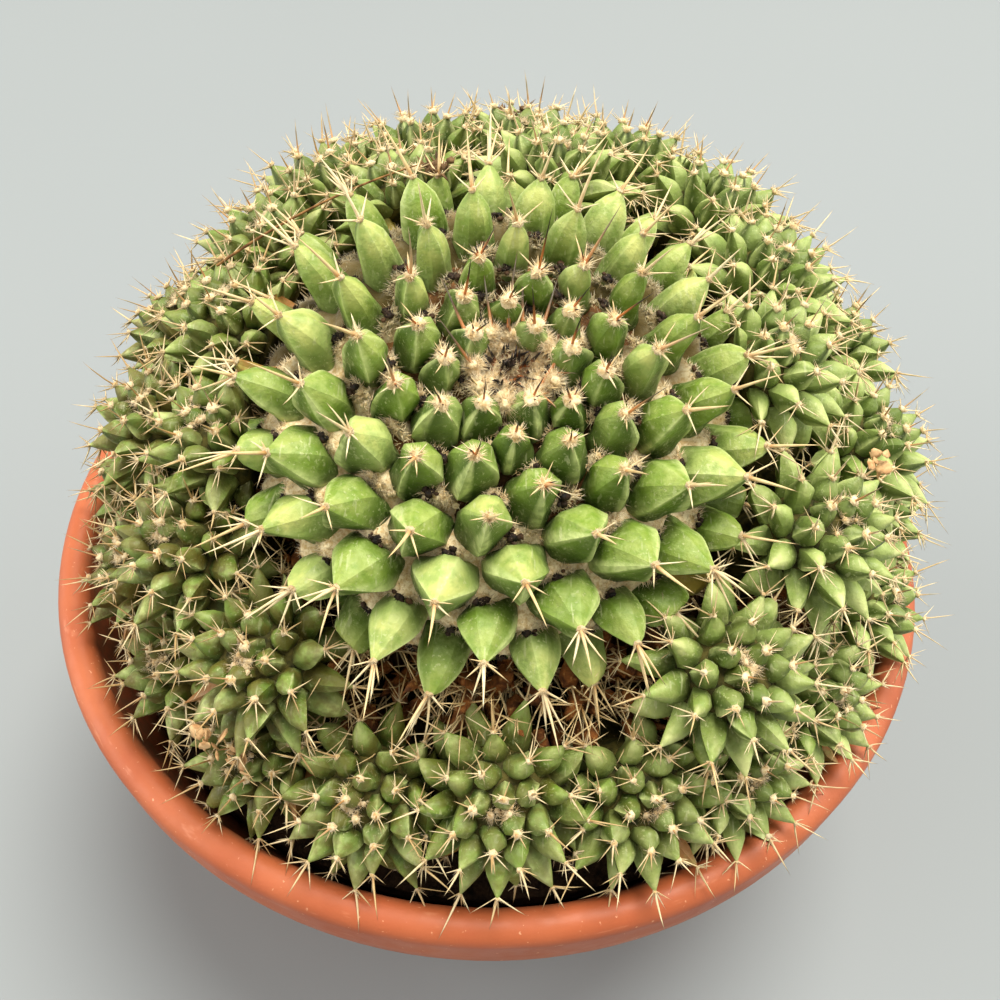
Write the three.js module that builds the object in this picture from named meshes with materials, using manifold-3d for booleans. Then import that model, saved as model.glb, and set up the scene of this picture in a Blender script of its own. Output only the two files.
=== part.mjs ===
// A potted Mammillaria mystax: one large mother head leaning to the front, with a dome of small heads
// packed round it, standing in a wide terracotta-coloured pot. Millimetres, +Z up, the origin under the
// middle of the pot's base. The front, which the mother head leans towards, is -Y.

import * as THREE from 'three';
import { ConvexHull } from 'three/addons/math/ConvexHull.js';
import { mergeVertices } from 'three/addons/utils/BufferGeometryUtils.js';
import Module from 'manifold-3d';

const wasm = await Module();
wasm.setup();

// Pot
const POT_HEIGHT = 90;
const RIM_RADIUS = 85;
const RIM_INNER_RADIUS = 79;
const BAND_HEIGHT = 12;
const BAND_STEP = 4.5;
const BASE_RADIUS = 57;
const WALL = 4.5;
const FLOOR = 5;
const DRAIN_RADIUS = 4;
const DRAIN_CIRCLE = 34;
const DRAIN_COUNT = 4;
const POT_SIDES = 30;

// Soil
const SOIL_TOP = 80;
const SOIL_EDGE_TOP = 77;
const SOIL_SIDES = 24;
const STEM_RADIUS = 22;
const STEM_FOOT = 56;
const STEM_HEIGHT = 60;
const STEM_SIDES = 12;

// Clearance between pieces that touch
const GAP = 0.3;

// The dome that the middles of the small heads lie on
const DOME_CENTRE = new THREE.Vector3(3, 0, 92);
const DOME_AXES = new THREE.Vector3(68, 68, 60);
const GROWTH_UPWARDS = 0.9;

// The mother head: its widest plane, its lean to the front, and the semi-axes of its body inside the
// tubercles
const MOTHER_MIDDLE = new THREE.Vector3(0.5, -19.3, 131.5);
const MOTHER_LEAN = THREE.MathUtils.degToRad(23);
const MOTHER_TURN = THREE.MathUtils.degToRad(5);
const MOTHER_RADIUS = 35.5;
const MOTHER_RISE = 22;
const MOTHER_REACH = 41;
const MOTHER_CROWN_SINK = 0.6;
const UNDERSIDE_DEPTH = 20;
const UNDERSIDE_RIM_DEPTH = 17;
const UNDERSIDE_RADIUS = 24;
const UNDERSIDE_SIDES = 7;

// The old corky stem that carries all the heads
const TRUNK_MIDDLE = new THREE.Vector3(2, 2, 87);
const TRUNK_RADIUS = 48;
const TRUNK_REACH = 40;

// Small heads: azimuth from the front towards +X, elevation on the dome, and radius to the tubercle tips
const OFFSETS = [
  // The lowest ring, from the front round by the right
  [0, 10.5, 15.5], [17.5, 7, 15.5], [32, 3, 15], [48, 5, 14.5], [66, 7, 14.5], [85, 7, 15], [106, 6, 15],
  [127, 5, 15.5], [149, 4, 16], [171, 4, 16], [-167, 5, 16], [-146, 4, 15.5], [-125, 5, 15],
  [-105, 6, 15], [-86, 7, 14.5], [-68, 7, 14.5], [-50, 6, 14.5], [-33, 3, 15], [-16.5, 6, 15.5],
  // The second ring
  [31, 24, 15.5], [54, 33, 15.5], [79, 29, 15.5], [104, 28, 15.5], [130, 27, 16], [156, 27, 16],
  [-178, 28, 16], [-153, 27, 16], [-127, 27, 16], [-103, 28, 15.5], [-78, 30, 15],
  [-53, 27, 15], [-34, 22, 15],
  // The third ring, which breaks off where the mother head leans over it
  [72, 53, 14.5], [101, 52, 16], [128, 50, 17.5], [154, 50, 18], [179, 51, 18], [-156, 50, 18],
  [-131, 50, 17.5], [-107, 51, 15.5], [-84, 49, 14.5], [-60, 42, 14],
  // The top, behind the mother head
  [165, 71, 15], [-125, 71, 14.5],
];

// Tubercles: distance between neighbours at the crown and at the skirt, and how far round the head they go
const MOTHER_TUBERCLES = {
  crown: 5.4, skirt: 8.9, firstAngle: 0.18, lastAngle: 1.85, height: 0.95, growth: 0.5,
};
const OFFSET_TUBERCLES = {
  crown: 4.5, skirt: 6.5, firstAngle: 0.26, lastAngle: 1.9, height: 0.7, growth: 0.9,
};
const LEAN_TO_CROWN = 0.5;
const DROOP = 0.35;
const HIDDEN_SIDE = 0.6;
const OFFSET_WIDTH = 1.05;
const OFFSET_RISE = 0.95;
const BULGE_AGE = 0.5;
const YOUNG_HEIGHT = 0.55;
const KNEE_OUT = 0.74;
const KNEE_UP = 0.55;
const GOLDEN_ANGLE = Math.PI * (3 - Math.sqrt(5));

// The neck that joins a small head to the old stem
const NECK_LENGTH = 27;
const NECK_WIDTH = 0.55;
const NECK_SIDES = 4;
const NECK_DROP = 0.4;
const NECK_TIP = 3;
const NECK_TURN = 0.3;
const CROWN_SINK = 0.98;
const NEIGHBOUR_DISTANCE = 70;

// Spines
const SPINE_RADIUS = 0.36;
const SPINE_ROOT = 1.3;
const MOTHER_CENTRAL = 8.5;
const MOTHER_RADIAL = 5;
const OFFSET_SPINE = 5;
const OFFSET_SPINE_STEP = 8;

const COLOURS = { pot: 0xc8683f, soil: 0x2e231c, mother: 0x6f9a4a, offset: 0x5f8c45 };

// A number from 0 to 1 that is always the same for the same seed
function draw(seed) {
  const wave = Math.sin(seed * 12.9898 + 4.1414) * 43758.5453;
  return wave - Math.floor(wave);
}

function clamp01(value) {
  return Math.min(1, Math.max(0, value));
}

// Solids for cutting and joining, and back to geometry

function toSolid(geometry) {
  const bare = geometry.index ? geometry.toNonIndexed() : geometry.clone();
  bare.deleteAttribute('normal');
  bare.deleteAttribute('uv');
  const merged = mergeVertices(bare, 1e-4);
  return new wasm.Manifold(new wasm.Mesh({
    numProp: 3,
    vertProperties: new Float32Array(merged.attributes.position.array),
    triVerts: new Uint32Array(merged.index.array),
  }));
}

function toGeometry(solid) {
  const mesh = solid.getMesh();
  const geometry = new THREE.BufferGeometry();
  const positions = new Float32Array(mesh.numVert * 3);
  for (let i = 0; i < mesh.numVert; i += 1) {
    for (let k = 0; k < 3; k += 1) positions[3 * i + k] = mesh.vertProperties[mesh.numProp * i + k];
  }
  geometry.setAttribute('position', new THREE.BufferAttribute(positions, 3));
  geometry.setIndex(Array.from(mesh.triVerts));
  return geometry;
}

function solidFromTriangles(points, triangles) {
  const geometry = new THREE.BufferGeometry();
  const numbers = points.flatMap((p) => [p.x, p.y, p.z]);
  geometry.setAttribute('position', new THREE.Float32BufferAttribute(numbers, 3));
  geometry.setIndex(triangles.flat());
  return toSolid(geometry);
}

function isEmpty(solid) {
  return solid.getMesh().triVerts.length === 0;
}

// Drops the loose scraps that a cut can leave, and keeps the biggest connected body
function biggestBody(solid) {
  const { triVerts, vertProperties, numProp, numVert } = solid.getMesh();
  const leader = Array.from({ length: numVert }, (_, i) => i);
  function find(i) {
    while (leader[i] !== i) {
      leader[i] = leader[leader[i]];
      i = leader[i];
    }
    return i;
  }
  for (let t = 0; t < triVerts.length; t += 3) {
    leader[find(triVerts[t])] = find(triVerts[t + 1]);
    leader[find(triVerts[t + 1])] = find(triVerts[t + 2]);
  }
  const counts = new Map();
  for (const vertex of triVerts) counts.set(find(vertex), (counts.get(find(vertex)) ?? 0) + 1);
  if (counts.size === 1) return solid;
  const biggest = [...counts.keys()].reduce((a, b) => (counts.get(a) >= counts.get(b) ? a : b));
  const points = Array.from({ length: numVert }, (_, i) => (
    new THREE.Vector3().fromArray(vertProperties, numProp * i)));
  const kept = [];
  for (let t = 0; t < triVerts.length; t += 3) {
    if (find(triVerts[t]) === biggest) kept.push([triVerts[t], triVerts[t + 1], triVerts[t + 2]]);
  }
  return solidFromTriangles(points, kept);
}

// Everything that lies beyond a plane, as a box big enough for this plant
function beyondPlane(point, normal) {
  const size = 400;
  const box = new THREE.BoxGeometry(size, size, size);
  box.translate(0, 0, size / 2);
  const turn = new THREE.Quaternion().setFromUnitVectors(new THREE.Vector3(0, 0, 1), normal);
  box.applyQuaternion(turn);
  box.translate(point.x, point.y, point.z);
  return toSolid(box);
}

// Pot and soil

function innerWallRadius(z) {
  const top = POT_HEIGHT - BAND_HEIGHT;
  const outerTop = RIM_RADIUS - BAND_STEP;
  const outer = BASE_RADIUS + (outerTop - BASE_RADIUS) * (z / top);
  return Math.min(outer - WALL, RIM_INNER_RADIUS - 2);
}

function potGeometry() {
  const bandBottom = POT_HEIGHT - BAND_HEIGHT;
  const rimMiddle = (RIM_RADIUS + RIM_INNER_RADIUS) / 2;
  const profile = [
    [0, 0],
    [BASE_RADIUS - 2, 0],
    [BASE_RADIUS, 2],
    [RIM_RADIUS - BAND_STEP, bandBottom],
    [RIM_RADIUS - 1, bandBottom + 0.6],
    [RIM_RADIUS, POT_HEIGHT - 3.5],
    [RIM_RADIUS - 1.2, POT_HEIGHT - 1],
    [rimMiddle, POT_HEIGHT],
    [RIM_INNER_RADIUS + 0.6, POT_HEIGHT - 1],
    [RIM_INNER_RADIUS, POT_HEIGHT - 3],
    [innerWallRadius(bandBottom), bandBottom - 2],
    [innerWallRadius(FLOOR), FLOOR],
    [0, FLOOR],
  ];
  return new THREE.LatheGeometry(profile.map(([r, z]) => new THREE.Vector2(r, z)), POT_SIDES)
    .rotateX(Math.PI / 2);
}

function potSolid() {
  let pot = toSolid(potGeometry());
  for (let i = 0; i < DRAIN_COUNT; i += 1) {
    const angle = (i + 0.5) * 2 * Math.PI / DRAIN_COUNT;
    const drain = new THREE.CylinderGeometry(DRAIN_RADIUS, DRAIN_RADIUS, 4 * FLOOR, 10);
    drain.rotateX(Math.PI / 2);
    drain.translate(DRAIN_CIRCLE * Math.cos(angle), DRAIN_CIRCLE * Math.sin(angle), 0);
    pot = pot.subtract(toSolid(drain));
  }
  return pot;
}

// The room that the pot's rim and wall take, a little enlarged, which the outer heads stay out of
function wallGuard() {
  const bandBottom = POT_HEIGHT - BAND_HEIGHT;
  const outside = RIM_RADIUS + 20;
  const low = bandBottom - 10;
  const profile = [
    [outside, low],
    [outside, POT_HEIGHT + GAP],
    [RIM_INNER_RADIUS + 1, POT_HEIGHT + GAP],
    [RIM_INNER_RADIUS - 2 * GAP, POT_HEIGHT - 3],
    [innerWallRadius(bandBottom) - 2 * GAP, bandBottom - 2],
    [innerWallRadius(low) - 2 * GAP, low],
    [outside, low],
  ];
  return toSolid(new THREE.LatheGeometry(profile.map(([r, z]) => new THREE.Vector2(r, z)), POT_SIDES)
    .rotateX(Math.PI / 2));
}

function soilSolid() {
  const clear = 2 * GAP;
  const profile = [
    [0, FLOOR + GAP],
    [innerWallRadius(FLOOR) - clear, FLOOR + GAP],
    [innerWallRadius(SOIL_EDGE_TOP - 4) - clear, SOIL_EDGE_TOP - 4],
    [innerWallRadius(SOIL_EDGE_TOP) - clear - 1, SOIL_EDGE_TOP],
    [innerWallRadius(SOIL_EDGE_TOP) - 6, SOIL_TOP],
    [0, SOIL_TOP],
  ];
  const lathe = new THREE.LatheGeometry(profile.map(([r, z]) => new THREE.Vector2(r, z)), SOIL_SIDES);
  const holeRadius = STEM_RADIUS + 2 * GAP;
  const hole = new THREE.CylinderGeometry(holeRadius, holeRadius, STEM_HEIGHT, STEM_SIDES);
  hole.rotateX(Math.PI / 2);
  hole.translate(TRUNK_MIDDLE.x, TRUNK_MIDDLE.y, STEM_FOOT - GAP + STEM_HEIGHT / 2);
  return toSolid(lathe.rotateX(Math.PI / 2)).subtract(toSolid(hole));
}

// Heads. A head is a body with one raised point for each tubercle. Its surface is drawn between the
// tubercles' points and the low points of the valleys, which lie in the triangles that three
// neighbouring tubercles make.

// The frame of a head: its middle, its growing direction, and two directions across
function headFrame(middle, axis, spin) {
  const across = new THREE.Vector3(1, 0, 0);
  if (Math.abs(axis.x) > 0.9) across.set(0, 1, 0);
  const side = new THREE.Vector3().crossVectors(axis, across).normalize();
  const front = new THREE.Vector3().crossVectors(side, axis);
  return { middle, axis, side, front, spin };
}

// The tubercles' places by the golden angle, wider apart from the crown to the skirt
function tubercleLattice(frame, radius, rise, rule) {
  const places = [];
  let polar = rule.firstAngle;
  for (let k = 0; polar < rule.lastAngle; k += 1) {
    const age = clamp01((polar - rule.firstAngle) / rule.growth);
    const spacing = rule.crown + (rule.skirt - rule.crown) * age;
    const turn = k * GOLDEN_ANGLE + frame.spin;
    const sin = Math.sin(polar);
    const cos = Math.cos(polar);
    const across = new THREE.Vector3()
      .addScaledVector(frame.side, Math.cos(turn))
      .addScaledVector(frame.front, Math.sin(turn));
    const base = frame.middle.clone().addScaledVector(across, radius * sin)
      .addScaledVector(frame.axis, rise * cos);
    const normal = new THREE.Vector3().addScaledVector(across, sin / radius)
      .addScaledVector(frame.axis, cos / rise).normalize();
    const hanging = clamp01((polar - 1.4) / 0.4);
    const lean = polar < Math.PI / 2 ? LEAN_TO_CROWN * (1 - age) : -DROOP * hanging;
    const direction = normal.clone().addScaledVector(frame.axis, lean).normalize();
    const height = rule.height * spacing * (YOUNG_HEIGHT + (1 - YOUNG_HEIGHT) * age);
    places.push({ base, normal, direction, height, spacing, age, polar });
    const arc = Math.hypot(radius * cos, rise * sin);
    polar += (0.866 * spacing * spacing) / (2 * Math.PI * radius * sin * arc);
  }
  return places;
}

function barePlace(base) {
  return { base, height: 0 };
}

// Joins places into a closed surface. With knees, each older tubercle is a fat pyramid that bulges
// halfway up.
function raisedBody(middle, places, withKnees) {
  const directions = places.map((place) => place.base.clone().sub(middle).normalize());
  const numberOf = new Map(directions.map((direction, i) => [direction, i]));
  const hull = new ConvexHull().setFromPoints(directions);
  const corners = hull.faces.map((face) => {
    const edges = [face.edge, face.edge.next, face.edge.next.next];
    return edges.map((edge) => numberOf.get(edge.head().point));
  });
  const points = places.map((place) => (place.height > 0
    ? place.base.clone().addScaledVector(place.direction, place.height)
    : place.base.clone()));
  const valleys = corners.map(([a, b, c]) => {
    const low = new THREE.Vector3().add(places[a].base).add(places[b].base).add(places[c].base)
      .divideScalar(3);
    const reach = (places[a].base.distanceTo(middle) + places[b].base.distanceTo(middle)
      + places[c].base.distanceTo(middle)) / 3;
    const raised = low.clone().sub(middle).setLength(0.5 * (reach + low.distanceTo(middle))).add(middle);
    points.push(raised);
    return points.length - 1;
  });
  const fans = new Map();
  corners.forEach((corner, f) => corner.forEach((a, k) => {
    const next = corner[(k + 1) % 3];
    fans.set(`${a},${next}`, { from: f });
  }));
  const triangles = [];
  const knees = new Map();
  function knee(a, valley) {
    const key = `${a},${valley}`;
    if (!knees.has(key)) {
      const place = places[a];
      const foot = place.base;
      const point = foot.clone().addScaledVector(points[valley].clone().sub(foot), KNEE_OUT)
        .addScaledVector(place.direction, KNEE_UP * place.height);
      knees.set(key, points.push(point) - 1);
    }
    return knees.get(key);
  }
  for (const [key, { from }] of fans) {
    const [a, b] = key.split(',').map(Number);
    const other = fans.get(`${b},${a}`).from;
    const near = valleys[from];
    const far = valleys[other];
    if (withKnees && places[a].height > 0 && places[a].age > BULGE_AGE) {
      const kneeNear = knee(a, near);
      const kneeFar = knee(a, far);
      triangles.push([a, kneeFar, kneeNear], [kneeFar, far, near], [kneeFar, near, kneeNear]);
    } else {
      triangles.push([a, far, near]);
    }
  }
  return solidFromTriangles(points, triangles);
}

// A three-sided needle from just inside a tubercle's tip
function needle(root, direction, length, radius) {
  const cone = new THREE.ConeGeometry(radius, length + SPINE_ROOT, 3, 1);
  cone.translate(0, (length + SPINE_ROOT) / 2 - SPINE_ROOT, 0);
  cone.applyQuaternion(new THREE.Quaternion().setFromUnitVectors(new THREE.Vector3(0, 1, 0), direction));
  cone.translate(root.x, root.y, root.z);
  return toSolid(cone);
}

function boundsOf(solid) {
  const box = new THREE.Box3();
  const mesh = solid.getMesh();
  const point = new THREE.Vector3();
  for (let i = 0; i < mesh.numVert; i += 1) {
    box.expandByPoint(point.fromArray(mesh.vertProperties, mesh.numProp * i));
  }
  return box;
}

// Adds needles that stay clear of every other piece. Each one may bend a little to find a free way.
function addNeedles(piece, wishes, others) {
  let { solid } = piece;
  for (const wish of wishes) {
    for (const bend of [0, 0.35, 0.8]) {
      const direction = wish.direction.clone().addScaledVector(wish.away, bend).normalize();
      const guard = needle(wish.root, direction, wish.length + GAP, SPINE_RADIUS + GAP);
      const guardBox = boundsOf(guard);
      const blocked = others.some((other) => other !== piece && other.box.intersectsBox(guardBox)
        && !isEmpty(other.solid.intersect(guard)));
      if (!blocked) {
        solid = solid.add(needle(wish.root, direction, wish.length, SPINE_RADIUS));
        break;
      }
    }
  }
  piece.solid = biggestBody(solid);
  piece.box = boundsOf(piece.solid);
}

// The plane between two neighbouring heads, nearer to the smaller one
function cutBetween(solid, own, ownReach, other, otherReach) {
  const between = other.clone().sub(own);
  const distance = between.length();
  const share = (distance * distance + ownReach * ownReach - otherReach * otherReach) / (2 * distance);
  const normal = between.normalize();
  const point = own.clone().addScaledVector(normal, share - GAP / 2);
  return solid.subtract(beyondPlane(point, normal));
}

function offsetHead([azimuth, elevation, reach], number) {
  const turn = THREE.MathUtils.degToRad(azimuth);
  const climb = THREE.MathUtils.degToRad(elevation);
  const spot = new THREE.Vector3(
    Math.cos(climb) * Math.sin(turn),
    -Math.cos(climb) * Math.cos(turn),
    Math.sin(climb),
  );
  const middle = spot.clone().multiply(DOME_AXES).add(DOME_CENTRE);
  const outward = spot.clone().divide(DOME_AXES).normalize();
  const axis = outward.clone().add(new THREE.Vector3(0, 0, GROWTH_UPWARDS)).normalize();
  const frame = headFrame(middle, axis, 2 * Math.PI * draw(number));
  return { number, middle, outward, reach, frame };
}

// A small head with the neck that joins it to the old stem
function offsetBody(head) {
  const { middle, outward, reach, frame } = head;
  const scale = reach / 13;
  const rule = { ...OFFSET_TUBERCLES };
  rule.crown *= scale;
  rule.skirt *= scale;
  const radius = reach - rule.height * rule.skirt;
  const inward = outward.clone().negate();
  const tubercles = tubercleLattice(frame, OFFSET_WIDTH * radius, OFFSET_RISE * radius, rule)
    .filter((place) => place.normal.dot(inward) < HIDDEN_SIDE);
  const crown = barePlace(frame.middle.clone()
    .addScaledVector(frame.axis, CROWN_SINK * OFFSET_RISE * radius));
  const root = inward.clone().add(new THREE.Vector3(0, 0, -NECK_DROP)).normalize();
  const neck = [barePlace(middle.clone().addScaledVector(root, NECK_LENGTH + NECK_TIP))];
  const side = new THREE.Vector3().crossVectors(root, new THREE.Vector3(0, 0, 1)).normalize();
  const up = new THREE.Vector3().crossVectors(side, root);
  for (let i = 0; i < NECK_SIDES; i += 1) {
    const turn = i * 2 * Math.PI / NECK_SIDES + NECK_TURN;
    neck.push(barePlace(middle.clone().addScaledVector(root, NECK_LENGTH)
      .addScaledVector(side, NECK_WIDTH * radius * Math.cos(turn))
      .addScaledVector(up, NECK_WIDTH * radius * Math.sin(turn))));
  }
  head.tubercles = tubercles;
  return raisedBody(middle, [crown, ...tubercles, ...neck], false);
}

function motherFrame() {
  const axis = new THREE.Vector3(
    Math.sin(MOTHER_TURN),
    -Math.sin(MOTHER_LEAN) * Math.cos(MOTHER_TURN),
    Math.cos(MOTHER_LEAN) * Math.cos(MOTHER_TURN),
  );
  return headFrame(MOTHER_MIDDLE, axis, 0.4);
}

function motherBody(frame, tubercles) {
  const crown = barePlace(frame.middle.clone()
    .addScaledVector(frame.axis, MOTHER_RISE - MOTHER_CROWN_SINK));
  const under = [barePlace(frame.middle.clone().addScaledVector(frame.axis, -UNDERSIDE_DEPTH))];
  for (let i = 0; i < UNDERSIDE_SIDES; i += 1) {
    const turn = i * 2 * Math.PI / UNDERSIDE_SIDES;
    under.push(barePlace(frame.middle.clone().addScaledVector(frame.axis, -UNDERSIDE_RIM_DEPTH)
      .addScaledVector(frame.side, UNDERSIDE_RADIUS * Math.cos(turn))
      .addScaledVector(frame.front, UNDERSIDE_RADIUS * Math.sin(turn))));
  }
  return raisedBody(frame.middle, [crown, ...tubercles, ...under], true);
}

function trunkSolid() {
  const trunk = toSolid(new THREE.IcosahedronGeometry(TRUNK_RADIUS, 1)
    .translate(TRUNK_MIDDLE.x, TRUNK_MIDDLE.y, TRUNK_MIDDLE.z));
  const stem = new THREE.CylinderGeometry(STEM_RADIUS, STEM_RADIUS, STEM_HEIGHT, STEM_SIDES);
  stem.rotateX(Math.PI / 2);
  stem.translate(TRUNK_MIDDLE.x, TRUNK_MIDDLE.y, STEM_FOOT + STEM_HEIGHT / 2);
  const down = new THREE.Vector3(0, 0, -1);
  return trunk
    .subtract(beyondPlane(new THREE.Vector3(0, 0, SOIL_TOP + GAP), down))
    .add(toSolid(stem));
}

function offsetNeedles(head) {
  const tips = head.tubercles.filter((place, k) => k % OFFSET_SPINE_STEP === 2);
  return tips.map((place, k) => ({
    root: place.base.clone().addScaledVector(place.direction, place.height),
    direction: place.direction,
    away: head.outward,
    length: OFFSET_SPINE * (0.85 + 0.3 * draw(100 * head.number + k)),
  }));
}

function motherNeedles(frame, tubercles) {
  const wishes = [];
  tubercles.forEach((place, k) => {
    const root = place.base.clone().addScaledVector(place.direction, place.height);
    const outward = place.base.clone().sub(frame.middle).normalize();
    wishes.push({
      root,
      direction: place.direction,
      away: outward.clone().addScaledVector(frame.axis, 0.5),
      length: MOTHER_CENTRAL * (0.6 + 0.4 * place.age) * (0.85 + 0.3 * draw(k)),
    });
    if (k % 5 === 0) {
      const tilt = new THREE.Vector3().crossVectors(frame.axis, place.direction).normalize();
      const sideways = draw(k + 500) < 0.5 ? tilt : tilt.negate();
      wishes.push({
        root,
        direction: place.direction.clone().addScaledVector(sideways, 0.9).normalize(),
        away: outward,
        length: MOTHER_RADIAL * (0.8 + 0.4 * draw(k + 900)),
      });
    }
  });
  return wishes;
}

function buildPlant(pot, soil) {
  const potPiece = { solid: pot, box: boundsOf(pot) };
  const soilPiece = { solid: soil, box: boundsOf(soil) };
  const heads = OFFSETS.map(offsetHead);
  const down = new THREE.Vector3(0, 0, -1);
  const underSoilTop = beyondPlane(new THREE.Vector3(0, 0, SOIL_TOP + GAP), down);
  const guard = wallGuard();

  const frame = motherFrame();
  const motherTubercles = tubercleLattice(frame, MOTHER_RADIUS, MOTHER_RISE, MOTHER_TUBERCLES);
  let mother = motherBody(frame, motherTubercles).add(trunkSolid());
  for (const head of heads) {
    let solid = offsetBody(head);
    solid = cutBetween(solid, head.middle, head.reach, MOTHER_MIDDLE, MOTHER_REACH);
    solid = cutBetween(solid, head.middle, head.reach, TRUNK_MIDDLE, TRUNK_REACH);
    for (const other of heads) {
      if (other !== head && other.middle.distanceTo(head.middle) < NEIGHBOUR_DISTANCE) {
        solid = cutBetween(solid, head.middle, head.reach, other.middle, other.reach);
      }
    }
    head.solid = biggestBody(solid.subtract(underSoilTop).subtract(guard));
    head.box = boundsOf(head.solid);
    mother = cutBetween(mother, MOTHER_MIDDLE, MOTHER_REACH, head.middle, head.reach);
  }
  const motherPiece = { solid: biggestBody(mother) };
  motherPiece.box = boundsOf(motherPiece.solid);
  const pieces = [potPiece, soilPiece, motherPiece, ...heads];
  addNeedles(motherPiece, motherNeedles(frame, motherTubercles), pieces);
  for (const head of heads) addNeedles(head, offsetNeedles(head), pieces);
  return { mother: motherPiece.solid, heads };
}

const potPart = potSolid();
const soilPart = soilSolid();
const plant = buildPlant(potPart, soilPart);

function meshOf(name, solid, colour, roughness) {
  const material = new THREE.MeshStandardMaterial({ color: colour, roughness, metalness: 0 });
  const mesh = new THREE.Mesh(toGeometry(solid), material);
  mesh.name = name;
  return mesh;
}

const group = new THREE.Group();
group.add(meshOf('pot', potPart, COLOURS.pot, 0.75));
group.add(meshOf('soil', soilPart, COLOURS.soil, 0.95));
group.add(meshOf('main_head', plant.mother, COLOURS.mother, 0.55));
plant.heads.forEach((head, i) => {
  group.add(meshOf(`offset_${String(i + 1).padStart(2, '0')}`, head.solid, COLOURS.offset, 0.55));
});

export default group;
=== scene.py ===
"""A potted Mammillaria mystax: one big old head that leans to the front and a dome of small heads round it,
all in a wide terracotta-coloured pot. Metres, +Z up, the front is -Y."""

import math
from functools import cache
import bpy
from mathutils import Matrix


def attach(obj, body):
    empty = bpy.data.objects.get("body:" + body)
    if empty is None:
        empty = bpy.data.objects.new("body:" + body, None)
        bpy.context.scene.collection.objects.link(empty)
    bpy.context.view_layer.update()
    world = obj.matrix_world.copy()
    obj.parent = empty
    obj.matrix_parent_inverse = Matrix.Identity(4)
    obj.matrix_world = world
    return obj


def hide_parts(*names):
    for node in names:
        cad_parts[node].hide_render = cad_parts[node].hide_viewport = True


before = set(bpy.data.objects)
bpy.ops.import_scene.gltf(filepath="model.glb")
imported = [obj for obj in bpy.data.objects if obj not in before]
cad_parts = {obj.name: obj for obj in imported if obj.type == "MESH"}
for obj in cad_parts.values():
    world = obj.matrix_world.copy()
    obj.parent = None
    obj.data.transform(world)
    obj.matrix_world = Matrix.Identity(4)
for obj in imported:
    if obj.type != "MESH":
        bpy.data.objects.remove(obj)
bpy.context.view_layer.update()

from types import SimpleNamespace

import bmesh
import bpy
import numpy as np
from mathutils import Matrix, Vector, noise

# Pot, as in the CAD model
POT_HEIGHT = 0.090
RIM_RADIUS = 0.085
RIM_INNER_RADIUS = 0.079
BAND_HEIGHT = 0.012
BAND_STEP = 0.0045
BASE_RADIUS = 0.057
BASE_EDGE = 0.0022
WALL = 0.0045
FLOOR = 0.005
DRAIN_RADIUS = 0.004
DRAIN_CIRCLE = 0.034
DRAIN_COUNT = 4
POT_SIDES = 144

# Soil, as in the CAD model
SOIL_TOP = 0.080
SOIL_EDGE_TOP = 0.077
SOIL_SLOPE = 0.008
GAP = 0.0003
GRIT_COUNT = 900
GRIT_SIZE = (0.0005, 0.0016)

# Places of the heads, as in the CAD model
DOME_CENTRE = np.array([0.003, 0.0, 0.092])
DOME_AXES = np.array([0.068, 0.068, 0.060])
GROWTH_UPWARDS = 0.9
MOTHER_MIDDLE = np.array([0.0005, -0.0193, 0.1315])
MOTHER_LEAN = math.radians(23)
MOTHER_TURN = math.radians(5)
MOTHER_RADIUS = 0.0355
MOTHER_RISE = 0.022
MOTHER_DEPTH = 0.020
MOTHER_REACH = 0.041
MOTHER_SPIN = 0.4
UNDERSIDE_DEPTH = 0.017
UNDERSIDE_RADIUS = 0.024
UNDERSIDE_SIDES = 7
STEM_MIDDLE = np.array([0.002, 0.002, 0.087])
STEM_RADIUS = 0.046
STEM_REACH = 0.040
STEM_FOOT = 0.0565
STEM_FOOT_TOP = 0.100
STEM_FOOT_RADIUS = 0.021

# Small heads: azimuth from the front towards +X, elevation on the dome, and radius to the tubercle tips
OFFSETS = [
    # The lowest ring, from the front round by the right
    (0, 10.5, 0.0155), (17.5, 7, 0.0155), (32, 3, 0.015), (48, 5, 0.0145), (66, 7, 0.0145), (85, 7, 0.015),
    (106, 6, 0.015), (127, 5, 0.0155), (149, 4, 0.016), (171, 4, 0.016), (-167, 5, 0.016),
    (-146, 4, 0.0155), (-125, 5, 0.015), (-105, 6, 0.015), (-86, 7, 0.0145), (-68, 7, 0.0145),
    (-50, 6, 0.0145), (-33, 3, 0.015), (-16.5, 6, 0.0155),
    # The second ring
    (31, 24, 0.0155), (54, 33, 0.0155), (79, 29, 0.0155), (104, 28, 0.0155), (130, 27, 0.016),
    (156, 27, 0.016), (-178, 28, 0.016), (-153, 27, 0.016), (-127, 27, 0.016), (-103, 28, 0.0155),
    (-78, 30, 0.015), (-53, 27, 0.015), (-34, 22, 0.015),
    # The third ring, which breaks off where the mother head leans over it
    (72, 53, 0.0145), (101, 52, 0.016), (128, 50, 0.0175), (154, 50, 0.018), (179, 51, 0.018),
    (-156, 50, 0.018), (-131, 50, 0.0175), (-107, 51, 0.0155), (-84, 49, 0.0145), (-60, 42, 0.014),
    # The top, behind the mother head
    (165, 71, 0.015), (-125, 71, 0.0145),
]
RING_STARTS = {"lowest": 0, "second": 19, "third": 32, "top": 42}
USUAL_REACH = 0.0155

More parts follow.
